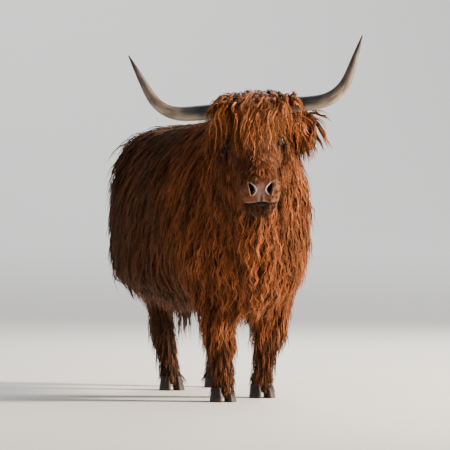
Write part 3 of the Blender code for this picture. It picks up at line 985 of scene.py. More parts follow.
    def lids(self, points: Array) -> Array:
        """Moves the grid out over each eyeball, and in behind it where the lids part.

        The lid is a sphere a little larger than the eyeball, blended with the face by a smooth
        maximum. The gap is an almond that slopes down towards the muzzle. The upper lid has a
        thicker rim and a crease above it.

        Args:
            points: The grid in head coordinates.

        Returns:
            The grid moved.
        """
        out = points.copy()
        radius = self.eye_radius
        for side in (-1, 1):
            x, y, h = self.eye_places(out, side)
            axis = HEAD.eye_seat(side)[1]
            rho = np.sqrt(x**2 + y**2)
            near = (h > -0.012) & (rho < 0.060)
            shell = np.sqrt(np.maximum((radius + self.lid) ** 2 - rho**2, 0.0))
            shell = np.where(rho < radius + self.lid, shell, -0.05)
            soft = 0.0060
            lid = soft * np.logaddexp(h / soft, shell / soft)
            gap = np.sqrt(self.gap(x, y))
            rim = 0.0018 * bell(gap, 1.16, 0.13) * (1 + 0.7 * (y > 0))
            crease = -0.0024 * bell(gap, 1.80, 0.25) * ramp(rho, 0.045, 0.030)
            fold = 0.0024 * bell(gap, 2.40, 0.35) * ramp(y, 0.0, 0.008)
            inside = np.sqrt(np.maximum(radius**2 - rho**2, 0.0)) - 0.0045
            share = ramp(gap, 0.93, 1.03)
            height = inside * (1 - share) + (lid + rim + crease + fold) * share
            shift = np.where(near, height - h, 0.0) * ramp(rho, 0.060, 0.048)
            out += shift[..., None] * axis
        return out

    def nostril_field(self, points: Array) -> tuple[Array, Array]:
        """Where points are against the nostrils.

        The opening is a comma in the slanting plane of the nose: straight along the wing, with a
        corner towards the middle, a long arm up from the corner and a short one down.

        Args:
            points: Head coordinates.

        Returns:
            A field that is 1 at a nostril's edge and less inside it, and how far out from its
            middle line each point is.
        """
        across, along, above = self.nostril
        side = np.abs(points[..., 0]) - across
        rise = (points[..., 1] - along) * -0.53 + (points[..., 2] - above) * 0.85
        depth = (points[..., 1] - along) * 0.85 + (points[..., 2] - above) * 0.53
        lean = math.radians(12)
        x = side * math.cos(lean) - rise * math.sin(lean)
        y = side * math.sin(lean) + rise * math.cos(lean)
        bent = x - np.where(y > 0, 19.0, 44.0) * y**2
        inner, outer = self.nostril_widths
        oval = (np.maximum(-bent, 0) / inner) ** 2 + (np.maximum(x, 0) / outer) ** 2
        return oval + FAR * (depth < -0.034), x

    def mouth_field(self, points: Array) -> tuple[Array, Array]:
        """Where points are against the mouth, whose line sinks with the square of the way out.

        Args:
            points: Head coordinates.

        Returns:
            Heights over the line between the lips, and how much of the mouth shows there.
        """
        side = points[..., 0] / 0.07
        back = np.maximum(0.462 - points[..., 1], 0.0)
        line = -0.0890 - 0.021 * side**2 - 0.13 * back
        return points[..., 2] - line, ramp(points[..., 1], 0.345, 0.375)

    def surface(self) -> Surface:
        """The finished head in the row's frame, coloured.

        The lips close on a groove, the philtrum is another, and the nostrils are drawn in behind
        raised rims.
        """
        local = self.base()
        local = self.lids(local + self.grid_normals(local) * self.broad_forms(local)[..., None])
        oval, outer = self.nostril_field(local)
        height, open_mouth = self.mouth_field(local)
        hole = 1 - ramp(oval, 0.45, 1.12)
        rim = (0.0030 + 0.0034 * ramp(outer, -0.004, 0.010)) * bell(np.sqrt(oval), 1.38, 0.30)
        lips = -0.0180 * bell(height, -0.004, 0.0070) + 0.0032 * bell(height, 0.012, 0.008)
        lips += 0.0020 * bell(height, -0.020, 0.010)
        groove = -0.0030 * bell(local[..., 0], 0, 0.0032) * bell(local[..., 2], -0.070, 0.024)
        groove = groove * ramp(local[..., 1], 0.42, 0.44)
        move = rim * (1 - hole) + lips * open_mouth + groove
        moved = local + self.grid_normals(local) * move[..., None]
        aside = np.sign(local[..., :1]) * LEFTWARD
        moved = moved + self.nostril_hole * hole[..., None] + aside * (0.004 * hole)[..., None]
        points = HEAD.world(self.settled(moved.reshape(-1, 3)))
        return grid_surface(points.reshape(moved.shape), self.colours(local, points))

    def settled(self, local: Array, way: int = 1) -> Array:
        """The muzzle turned a little against the skull: a roll about the head's axis, and a shift.

        Args:
            local: Head coordinates, one place in a row.
            way: 1 to turn the plain form, -1 to turn finished places back.

        Returns:
            The places moved.
        """
        share = ramp(local[:, 1], 0.22, 0.42)
        angle, middle = way * self.roll * share, -0.085
        x, z = local[:, 0] - self.shift * share * (way < 0), local[:, 2] - middle
        across = x * np.cos(angle) + z * np.sin(angle) + self.shift * share * (way > 0)
        return np.stack((across, local[:, 1], z * np.cos(angle) - x * np.sin(angle) + middle), -1)

    def bare(self, local: Array) -> Array:
        """Where there is no hair: in and round the nostrils, the strip between them, and the lips.

        Args:
            local: Head coordinates.

        Returns:
            1 where the hide is bare, 0 where it is furred.
        """
        oval, outer = self.nostril_field(local)
        height, open_mouth = self.mouth_field(local)
        side, along, above = np.abs(local[..., 0]), local[..., 1], local[..., 2]
        inner = ramp(np.sqrt(oval), 1.85 - 0.60 * ramp(outer, -0.002, 0.008), 1.20)
        strip = 0.9 * ramp(side, 0.0200, 0.008) * ramp(above, -0.018, -0.034) * ramp(along, 0.40, 0.42)
        lip = bell(height, 0.004, 0.0085) * open_mouth * ramp(side, 0.066, 0.052)
        return np.clip(inner + strip + lip, 0, 1)

    def colours(self, local: Array, points: Array) -> Array:
        """Colours of the head: hide, wings and pad of the nose, rims, lips, chin, nostrils and lids, with
        painted shade in the nostrils, the mouth and under the hair, and partly painted highlight on the rims.

        Args:
            local: The grid in head coordinates, with its lids.
            points: The finished places in the row's frame, one in a row.

        Returns:
            Colours in the grid's own order.
        """
        side, along, above = np.abs(local[..., 0]), local[..., 1], local[..., 2]
        oval, outer = self.nostril_field(local)
        height, open_mouth = self.mouth_field(local)
        rim = bell(np.sqrt(oval), 1.28, 0.26) * (0.04 + 0.96 * ramp(outer, 0.006, -0.004))
        philtrum = ramp(side, 0.010, 0.003) * ramp(above, -0.052, -0.072) * ramp(along, 0.42, 0.44)
        edge = bell(height, 0.0115, 0.0040) * ramp(side, 0.060, 0.045) * ramp(side, 0.008, 0.020)
        below = ramp(along, 0.36, 0.40)
        colour = layered(
            # the head's hide darkened towards the root colour: painted shade under the hair
            mix(Tint.ROOT.rgb, coat_colour(points), 0.45).reshape(local.shape),
            (Tint.WING.rgb, 0.75 * ramp(along, 0.385, 0.41) * ramp(above, -0.125, -0.105)),
            (Tint.PAD.rgb, self.bare(local)),
            # pale inner rims: partly their own pink, partly painted highlight
            (Tint.PAD_RIM_AND_HIGHLIGHT.rgb, 0.85 * rim),
            # painted shade down the philtrum's groove
            (Tint.LIP_AND_SHADE.rgb, 0.80 * philtrum),
            # a lighter copy of the wing colour along the upper lip's edge: partly the lip's own pale edge,
            # partly painted highlight
            (Tint.WING.rgb * 1.5, 0.40 * edge * open_mouth),
            # painted shadow in the gap between the lips
            (Tint.LIP_AND_SHADE.rgb, 0.97 * bell(height, -0.003, 0.0105) * open_mouth),
            (Tint.MUD.rgb, 0.85 * ramp(height, -0.004, -0.012) * below),
            # painted shade under the mouth, over the lower lip
            (Tint.LIP_AND_SHADE.rgb * 0.6, 0.9 * ramp(height, -0.002, -0.008) * ramp(height, -0.034, -0.022) * below),
            # painted shade inside the nostrils
            (Tint.NOSTRIL_SHADE.rgb, 1 - ramp(oval, 0.50, 1.05)),
        )
        for eye in (-1, 1):
            x, y, out = self.eye_places(local, eye)
            gap = np.sqrt(self.gap(x, y)) + FAR * (out < 0)
            rims = (Tint.LID.rgb, 0.95 * ramp(gap, 1.50, 1.20))
            colour = layered(colour, rims, (Tint.LID.rgb, 0.55 * bell(gap, 1.75, 0.18)))
        return colour


@dataclass(frozen=True)
class Ear:
    """An ear's leaf: a thin cupped blade with a rounded tip.

    Attributes:
        name: The solid it stands for.
        side: 1 for the cow's left, -1 for its right.
        lean: Out, forwards and up, the way the ear points.
        length: Root to tip.
        root: Across, along and above, in head coordinates.
        half_width: At its widest.
    """

    name: str
    side: int
    lean: tuple[float, float, float]
    length: float = 0.195
    root: tuple[float, float, float] = (0.098, 0.020, -0.080)
    half_width: float = 0.042

    @property
    def axes(self) -> tuple[Array, Array, Array]:
        """Along the ear, up across its leaf, and out of its hollow."""
        out, forward, up = self.lean
        along = unit(self.side * out * HEAD_AXES[0] + forward * HEAD_FORWARD + up * HEAD_RISE)
        rise = unit(HEAD_RISE - along * dot(HEAD_RISE, along))
        hollow = np.cross(rise, along) * self.side
        return along, rise, hollow

    @property
    def base(self) -> Array:
        """The root's place in the row's frame."""
        return HEAD.world(self.root * np.array((self.side, 1, 1)))

    def surface(self) -> Surface:
        """The leaf: flat ellipses along the ear, bent to a cup towards their edges."""
        along, rise, hollow = self.axes
        u = np.linspace(0, 1, 40)[:, None, None]
        turn = np.linspace(0, FULL_TURN, 40, endpoint=False)[None, :, None]
        width = self.half_width * (0.45 + 0.75 * np.sin(math.pi * u**0.8) ** 0.8) * (1 - u**6) ** 0.5 + 1e-4
        width = np.where(u > 0.999, 0.002, width)
        x = width * np.cos(turn)
        thick = (0.0030 + 0.008 * (1 - u) ** 2) * np.sin(turn)
        cup = 0.9 * x**2 / self.half_width * (1 - 0.4 * u)
        points = self.base + along * (u * self.length - 0.02) + rise * x + hollow * (thick + cup)
        # the ear's leaf darkened towards the root colour: painted shade under its fringe
        colours = mix(Tint.ROOT.rgb, coat_colour(points.reshape(-1, 3)), 0.5).reshape(points.shape)
        return grid_surface(points, colours)

    def coat(self, seed: int) -> CoatPiece:
        """The ear's fringe: long hair that lies out along the leaf and hangs from its edges.

        Args:
            seed: Which random draws.

        Returns:
            The fringe, ready to be grown.
        """
        axes = self.axes
        along, _, hollow = axes

        def local(points: Array) -> Array:
            """Along the ear, up its leaf and out of its hollow."""
            return ((points - self.base) @ np.stack(axes).T).T

        def density(points: Array, normals: Array) -> Array:
            """Full on the leaf and densest at its edges."""
            out, up, over = local(points)
            on = (out > 0.004) & (out < self.length) & (np.abs(up) < 0.07) & (np.abs(over) < 0.06)
            return on * (1.0 + 1.5 * ramp(np.abs(up), 0.02, 0.04))

        def flow(points: Array, normals: Array) -> Array:
            """Out along the ear and down."""
            out, up, _ = local(points)
            out, top = ramp(out, 0.06, 0.19)[:, None], ramp(up, 0.0, 0.035)[:, None]
            fall = along * (0.22 + 0.30 * out + 0.75 * top) - UP * (1 - 0.25 * out - 0.60 * top)
            return unit(fall + 0.12 * ripple(points, 0.05, 31)[:, None] * hollow)

        def style(points: Array, normals: Array) -> Lock:
            """Shorter towards the tip."""
            length = 0.180 - 0.040 * ramp(local(points)[0], 0.0, 0.12)
            return Lock(
                length, width=0.0038, lift=0.50, lie=0.020, droop=0.70, hold=0.0, wave=0.0030,
                wavelength=0.070, spread=0.009, gather=0.45,
            )

        return CoatPiece(
            f"coat_{self.name}", 150, 7, density, flow, style, (self.base, along), seed, rings=8, shine=1.4,
            stray=0.04, loose=0.03,
        )


# ---- The lie of the land under the coat ------------------------------------------------------
class Terrain:
    """Finds the hide under any point: the nearest of many sample points and its tangent plane."""

    def __init__(self, surface: Surface, count: int, seed: int) -> None:
        """Takes samples.

        Args:
            surface: The hide.
            count: How many points to sample.
            seed: Which random points.
        """
        self.hide = surface
        rng = np.random.default_rng(seed)
        chosen = rng.choice(len(surface.verts), min(count, len(surface.verts)), replace=False)
        self.points = surface.verts[chosen].astype(np.float32)
        self.normals = surface.normals()[chosen].astype(np.float32)
        self.squares = np.sum(self.points**2, axis=1)

    def read(self, points: Array) -> tuple[Array, Array]:
        """Height over the hide and the hide's normal at points.

        Args:
            points: Places, one in a row.

        Returns:
            The heights, and the normals.
        """
        nearest = np.empty(len(points), int)
        block = 4096
        for start in range(0, len(points), block):
            rows = points[start : start + block].astype(np.float32)
            nearest[start : start + block] = np.argmin(self.squares - 2 * rows @ self.points.T, axis=1)
        normals = self.normals[nearest].astype(float)
        return dot(points - self.points[nearest], normals), normals


# ---- The coat --------------------------------------------------------------------------------
@dataclass(frozen=True)
class Lock:
    """How the hair of one region grows. Each is one number, or one for each lock.

    Attributes:
        length: Of a lock.
        width: Of a tuft in it.
        lift: Angle to the hide at the root, in radians.
        lie: Height over the hide that the tip rests at.
        droop: Pull of gravity against the lie of the coat.
        hold: How firmly the coat is kept down, 0 to 1.
        wave: Half height of its waves.
        wavelength: Of those waves.
        spread: Radius at the root of the bundle of tufts in a lock.
        gather: How far the tufts close up towards the tip, 0 to 1.
    """

    length: Array | float = 0.14
    width: Array | float = 0.0045
    lift: Array | float = 0.35
    lie: Array | float = 0.030
    droop: Array | float = 0.4
    hold: Array | float = 0.6
    wave: Array | float = 0.004
    wavelength: Array | float = 0.07
    spread: Array | float = 0.020
    gather: Array | float = 0.7

    def spoken(self, name: str, count: int) -> Array:
        """A field as one number for each lock."""
        return np.broadcast_to(np.asarray(getattr(self, name), float), (count,)).copy()


@dataclass(frozen=True)
class Fountain:
    """The forelock: locks that rise from the crown, arch over brow and horns, and fall on all sides.

    Each lock is a cubic Bezier curve in head coordinates. Locks from the middle fall forwards and
    come to rest on the face; locks from the sides arch over the horns and hang beside the eyes.

    Attributes:
        half_width: Of the crown that the locks grow on.
        reach: How far along the face the middle locks come.
        side_reach: How far along the side locks come.
        flare: How far out the side locks hang.
        dome: Height of the control points over the crown.
        inset: How far the whole layer lies under the outermost one.
    """

    half_width: float = 0.100
    reach: float = 0.380
    side_reach: float = 0.205
    flare: float = 0.176
    dome: float = 0.127
    inset: float = 0.0

    def lines(self, roots: Array, steps: int, rng: Generator) -> Array:
        """Middle lines of locks, from the crown over two control points to the face.

        Args:
            roots: Where the locks grow.
            steps: How many steps a line has.
            rng: Draws how far each lock strays and reaches.

        Returns:
            Locks by steps + 1 points by three, in the row's frame.
        """
        local = HEAD.local(roots)
        count = len(roots)
        out = np.clip(local[:, 0] / self.half_width + rng.normal(0, 0.10, count), -1.1, 1.1)
        side = ramp(np.abs(out), 0.25, 0.95)
        short = rng.uniform(0.0, 1.0, count)
        across = out * self.flare * (0.80 + 0.20 * side) + rng.normal(0, 0.010, count)
        along = self.reach - (self.reach - self.side_reach) * side - (0.150 - 0.050 * side) * short
        above = 0.040 - 0.125 * side - 0.012 * (1 - short) + rng.normal(0, 0.008, count)
        end = np.stack((across, along, above), -1)
        rise = rng.uniform(0.72, 1.0, count) - self.inset
        first = local + np.stack((0.012 + out * 0.070, 0.015 + 0 * out, (0.130 + 0.002 * side) * rise), -1)
        bow = 0.008 + across * (0.90 + 0.16 * side)
        second = np.stack((bow, 0.145 - 0.085 * side, (self.dome + 0.012 * side) * rise), -1)
        t = np.linspace(0, 1, steps + 1)[None, :, None]
        points = local[:, None] * (1 - t) ** 3 + 3 * first[:, None] * t * (1 - t) ** 2
        return HEAD.world(points + 3 * second[:, None] * t**2 * (1 - t) + end[:, None] * t**3)


Field = Callable[[Array, Array], Array]  # from points of the hide and the normals there
Style = Callable[[Array, Array], Lock]


@dataclass
class CoatPiece:
    """One piece of the coat: where it grows, which way it lies, and how.

    Attributes:
        name: The piece's name.
        locks: How many locks.
        tufts: How many tufts in each.
        where: Share of full density at points of the hide.
        flow: Which way the hair lies there.
        style: How it grows there.
        axis: Middle line of the unwrap, as a point and a direction.
        seed: Which random draws.
        rings: Rings along a tuft.
        slot: The record's material slot.
        shine: Factor on the tips' golden tint, which is partly lighter hair and partly painted highlight.
        stray: Share of tufts that leave their lock.
        under: Share of broad tufts close to the hide, darkened as painted shade.
        loose: Share of locks that stand off the coat.
        unrest: How far the tufts of a lock wave out of step.
        tone: Factor on the brightness; below one it is painted shade, as on the layers under the forelock,
            the crest and the face.
        uneven: How much the brightness differs from lock to lock.
        clear: Balls that no tuft may cross: centres and radii.
        fountain: Draws the locks in place of the lie of the coat.
    """

    name: str
    locks: int
    tufts: int
    where: Field
    flow: Field
    style: Style
    axis: tuple[Array, Array]
    seed: int
    rings: int = 6
    slot: str = "coat"
    shine: float = 1.0
    stray: float = 0.07
    under: float = 0.30
    loose: float = 0.08
    unrest: float = 0.25
    tone: float = 1.06
    uneven: float = 0.40
    clear: tuple[Array, Array] | None = None
    fountain: Fountain | None = None

    def roots(self, hide: Surface, rng: Generator) -> tuple[Array, Array]:
        """Spreads the locks' roots over the hide by area and density.

        Args:
            hide: The hide.
            rng: The piece's random draws.

        Returns:
            Places and normals.
        """
        a, b, c = (hide.verts[hide.faces[:, k]] for k in range(3))
        cross = np.cross(b - a, c - a)
        weight = np.linalg.norm(cross, axis=1) * self.where((a + b + c) / 3, unit(cross))
        total = np.cumsum(weight)
        even = (np.arange(self.locks) + rng.uniform(size=self.locks)) / self.locks
        face = np.minimum(np.searchsorted(total, even * total[-1]), len(weight) - 1)
        u, v = rng.uniform(size=(2, self.locks, 1))
        flip = u + v > 1
        u, v = np.where(flip, 1 - u, u), np.where(flip, 1 - v, v)
        normals = hide.normals()
        blend = normals[hide.faces[face, 0]] * (1 - u - v)
        blend += normals[hide.faces[face, 1]] * u + normals[hide.faces[face, 2]] * v
        return a[face] + (b - a)[face] * u + (c - a)[face] * v, unit(blend)

    def guides(self, roots: Array, normals: Array, terrain: Terrain, rng: Generator) -> Array:
        """Grows the middle line of each lock, kept between the hide and the top of the coat.

        Step by step the heading turns to the lie of the coat and to gravity. What would sink into
        the hide is lifted out of it, and what stands off it is pressed down by the lock's hold.

        Args:
            roots: Where the locks grow.
            normals: Of the hide there.
            terrain: The hide, ready to be read.
            rng: The piece's random draws.

        Returns:
            Locks by points along the line by three.
        """
        if self.fountain is not None:
            return self.fountain.lines(roots, 2 * self.rings, rng)
        style, count = self.style(roots, normals), len(roots)
        length = style.spoken("length", count) * rng.uniform(0.78, 1.18, count)
        lie = style.spoken("lie", count) * rng.uniform(0.45, 1.15, count)
        lift = style.spoken("lift", count) * rng.uniform(0.6, 1.4, count)
        droop, hold = style.spoken("droop", count)[:, None], style.spoken("hold", count)
        loose = rng.uniform(size=count) < self.loose
        hold, lift = np.where(loose, 0.3 * hold, hold), np.where(loose, 1.5 * lift, lift)
        lie = lie * (1 + 0.6 * loose)
        flow = unit(self.flow(roots, normals) + 0.16 * rng.normal(size=roots.shape))
        heading = unit(flow * np.cos(lift)[:, None] + normals * np.sin(lift)[:, None])
        steps = 2 * self.rings
        step = (length / steps)[:, None]
        bend = unit(rng.normal(size=roots.shape)) * 0.10
        point, line, normal = roots, [roots], normals
        for k in range(1, steps + 1):
            t = k / steps
            wanted = unit(self.flow(point, normal) - UP * droop + bend)
            heading = unit(heading * (1 - TURNING / steps) + wanted * TURNING / steps)
            ahead = point + heading * step
            height, normal = terrain.read(ahead)
            low, high = lie * (0.25 * t), lie * (0.15 + 1.0 * t)
            ahead = ahead + normal * np.maximum(low + 0.0015 - height, 0)[:, None]
            ahead = ahead - normal * (hold * np.maximum(height - high, 0))[:, None]
            heading = unit(ahead - point)
            point = point + heading * step
            line.append(point)
        return np.stack(line, axis=1)

    def paths(self, terrain: Terrain) -> dict[str, Array]:
        """Lays the tufts of each lock round its middle line and waves them.

        A tuft starts beside its lock's root, closes up to the middle line on its way, and swings
        about it as a spiral. Crumpled locks, and tufts where none may be, are left out.

        Args:
            terrain: The hide.

        Returns:
            Paths, side and face directions, widths, colours and roots of all the tufts.
        """
        rng = np.random.default_rng(self.seed)
        roots, normals = self.roots(terrain.hide, rng)
        guides = self.guides(roots, normals, terrain, rng)
        style = self.style(roots, normals)
        locks = len(roots)
        owner = np.repeat(np.arange(locks), self.tufts)
        count = len(owner)

        def of_tufts(name: str) -> Array:
            """A field of the style for each tuft."""
            return style.spoken(name, locks)[owner]

        # Where each tuft starts, and how far it sinks to meet the hide.
        along = unit(guides[:, 1] - guides[:, 0])
        side = unit(np.cross(along, normals + 0.05 * rng.normal(size=normals.shape)))
        angle = rng.uniform(0, FULL_TURN, count)
        radius = np.sqrt(rng.uniform(0, 1, count)) * of_tufts("spread")
        offset = side[owner] * (radius * np.cos(angle))[:, None]
        offset += np.cross(normals, side)[owner] * (radius * np.sin(angle))[:, None]
        root = roots[owner] + offset
        height, ground = terrain.read(root)
        drop = np.clip(height + 0.002, -0.02, 0.02)[:, None] * ground

        # The path along the middle line, gathered towards the tip.
        share = rng.uniform(0.62, 1.0, count)
        under = rng.uniform(size=count) < self.under
        t = np.linspace(0, 1, self.rings + 1)[None, :] * share[:, None]
        index = t * (guides.shape[1] - 1)
        low = np.minimum(index.astype(int), guides.shape[1] - 2)
        part = (index - low)[..., None]
        path = guides[owner[:, None], low] * (1 - part) + guides[owner[:, None], low + 1] * part
        astray = rng.uniform(size=count) < self.stray
        gather = np.where(astray, -0.6, of_tufts("gather") * rng.uniform(0.7, 1.1, count))
        close = 1 - gather[:, None] * t**0.8
        sink = (0.45 * of_tufts("lie") * under)[:, None] * t
        path = path + offset[:, None] * close[..., None] - drop[:, None] * ((1 - t) ** 2)[..., None]
        path = path - normals[owner][:, None] * sink[..., None]

        # The waves.
        heading = unit(np.gradient(path, axis=1))
        across = unit(np.cross(heading, normals[owner][:, None] + 1e-3))
        face = np.cross(across, heading)
        wave = of_tufts("wave") * rng.uniform(0.5, 1.3, count)
        cycles = of_tufts("length") / of_tufts("wavelength")
        cycles = cycles * (rng.uniform(0.8, 1.2, locks)[owner] + rng.normal(0, 0.04, count))
        phase = rng.uniform(0, FULL_TURN, locks)[owner] + rng.normal(0, self.unrest, count)
        swing = FULL_TURN * cycles[:, None] * t + phase[:, None]
        size = wave[:, None] * ramp(t, 0.02, 0.45)
        path = path + across * (size * np.sin(swing))[..., None]
        path = path + face * (0.6 * size * np.cos(swing))[..., None]

        # The tuft's own turn, width and brightness.
        spin = rng.normal(0, 0.45, count)[:, None, None]
        c, s = np.cos(spin), np.sin(spin)
        heading = unit(np.gradient(path, axis=1))
        across = unit(np.cross(heading, face))
        face = np.cross(across, heading)
        across, face = across * c + face * s, face * c - across * s
        width = of_tufts("width") * np.where(under, UNDER_WIDTH, rng.uniform(0.5, 1.05, count))
        full = t / share[:, None]
        taper = (0.60 + 1.6 * t * (1 - t)) * (1 - 0.80 * full**2.5)
        tone = np.exp(rng.normal(0, self.uneven, locks)[owner] + rng.normal(0, 0.20, count))
        # tufts close to the hide darkened: painted shade deep in the coat
        tone = self.tone * np.minimum(tone, BRIGHTEST) * np.where(under, UNDER_SHADE, 1.0)
        path[..., 2] = np.maximum(path[..., 2], CLEARANCE)
        step = unit(np.diff(guides, axis=1))
        folded = np.any(dot(step[:, 1:], step[:, :-1]) < FOLD, axis=1)
        made = {
            "path": path,
            "across": across,
            "face": face,
            "width": width[:, None] * taper,
            "colour": self.shaded(root, full, tone, rng.uniform(0.2, 1.0, count)),
            "root": root,
        }
        kept = self.kept(path) & ~folded[owner]
        return {name: rows[kept] for name, rows in made.items()}

    def kept(self, path: Array) -> Array:
        """Whether each tuft stays out of the balls that must be kept clear."""
        hit = np.zeros(len(path), bool)
        for centre, radius in zip(*(self.clear or ((), ()))):
            hit |= np.any(np.sum((path[:, 1:] - centre) ** 2, axis=-1) < radius**2, axis=1)
        return ~hit

    def shaded(self, root: Array, t: Array, tone: Array, gold: Array) -> Array:
        """Colours along the tufts: dark at the root as painted shade deep in the coat, full colour halfway,
        golden at the tip, partly lighter hair and partly painted highlight.

        Args:
            root: Where each tuft grows.
            t: Shares of a tuft's length, from 0 to 1.
            tone: Each tuft's brightness.
            gold: How golden its tip is.

        Returns:
            Tufts by places along them by three.
        """
        base = coat_colour(root)[:, None]
        # painted shade: dark at the root, deep in the coat
        colour = mix(np.broadcast_to(Tint.ROOT.rgb, base.shape), base, ramp(t, -0.10, 0.50))
        # brighter, golden tips: partly lighter hair, partly painted highlight
        tip = base * 1.25 + Tint.GOLD_AND_HIGHLIGHT.rgb * 0.16 * base[..., :1] / Tint.RUST.rgb[0]
        colour = mix(colour, tip, self.shine * gold[:, None] * ramp(t, 0.35, 1.0))
        return colour * tone[:, None, None]

    def mesh(self, terrain: Terrain) -> Mesh:
        """Sweeps a flat three-sided section along each path, drawn to a point at the tip.

        A tuft's faces are quads between its rings, three triangles to the tip, and one over the
        root. They have places u round the tuft and v along it.

        Args:
            terrain: The hide.

        Returns:
            All the tufts as one mesh, with its tint, its bake map and a map for fine streaks.
        """
        made = self.paths(terrain)
        path, width, tints = made["path"], made["width"][..., None], made["colour"]
        count, rings = len(path), self.rings
        each = rings * 3 + 1
        section = ((0.0, 0.28), (-0.5, -0.08), (0.5, -0.08))
        ring = [path + made["across"] * (x * width) + made["face"] * (y * width) for x, y in section]
        body = np.stack(ring, axis=2)[:, :rings].reshape(count, rings * 3, 3)
        verts = np.concatenate((body, path[:, -1:]), axis=1)
        colour = np.concatenate((np.repeat(tints[:, :rings], 3, axis=1), tints[:, -1:]), axis=1)

        k, j = (axis.ravel() for axis in np.meshgrid(np.arange(rings - 1), np.arange(3), indexing="ij"))
        a, b, corner = 3 * k + j, 3 * k + (j + 1) % 3, np.arange(3)
        last = 3 * (rings - 1) + corner
        quads = np.stack((a, b, b + 3, a + 3), -1)
        tips = np.stack((last, np.roll(last, -1), np.full(3, each - 1)), -1)
        pattern = np.concatenate((quads.ravel(), tips.ravel(), (2, 1, 0)))
        sizes = np.array([4] * len(quads) + [3] * 4)
        first = np.concatenate(((0,), np.cumsum(sizes)[:-1]))
        tuft = np.arange(count)[:, None]
        loops, starts = (tuft * each + pattern).ravel(), (tuft * sizes.sum() + first).ravel()
        mesh = new_mesh(self.name, verts.reshape(-1, 3), loops, starts)
        paint(mesh, colour.reshape(-1, 3))

        tip_u = np.stack((corner, corner + 1, corner + 0.5), -1).ravel() / 3.0
        u = np.concatenate((np.stack((j, j + 1, j + 1, j), -1).ravel() / 3.0, tip_u, (0.1, 0.9, 0.5)))
        tip_v = np.tile((rings - 1, rings - 1, rings), 3) / rings
        v = np.concatenate((np.stack((k, k, k + 1, k + 1), -1).ravel() / rings, tip_v, (0.0, 0.0, 0.06)))
        patch = self.unwrap(made["root"])
        lay_map(mesh, "OFBake", np.stack((patch[:, :1] + PATCH * u, patch[:, 1:] + PATCH * v), -1))
        shift = np.random.default_rng(self.seed + 1).uniform(0, 50, (count, 2))
        broad = made["width"][:, :1] / STREAK_WIDTH
        lay_map(mesh, "tuft", np.stack((shift[:, :1] + u * broad, shift[:, 1:] + 6.0 * v), -1))
        return mesh

    def unwrap(self, roots: Array) -> Array:
        """Unwraps the hide round the piece's middle line: along it, and the angle about it.

        Args:
            roots: Places on the hide.

        Returns:
            Places from 0 to 1 less a patch, filling both axes.
        """
        start, way = self.axis
        rel = roots - start
        mean = rel.mean(0) + np.array((1e-4, 2e-4, 3e-4))
        first = unit(tangent(mean, way))
        second = np.cross(way, first)
        flat = np.stack((rel @ way, np.arctan2(rel @ second, rel @ first)), -1)
        low, high = flat.min(0), flat.max(0)
        return (flat - low) / (high - low) * (1 - 4 * PATCH) + PATCH


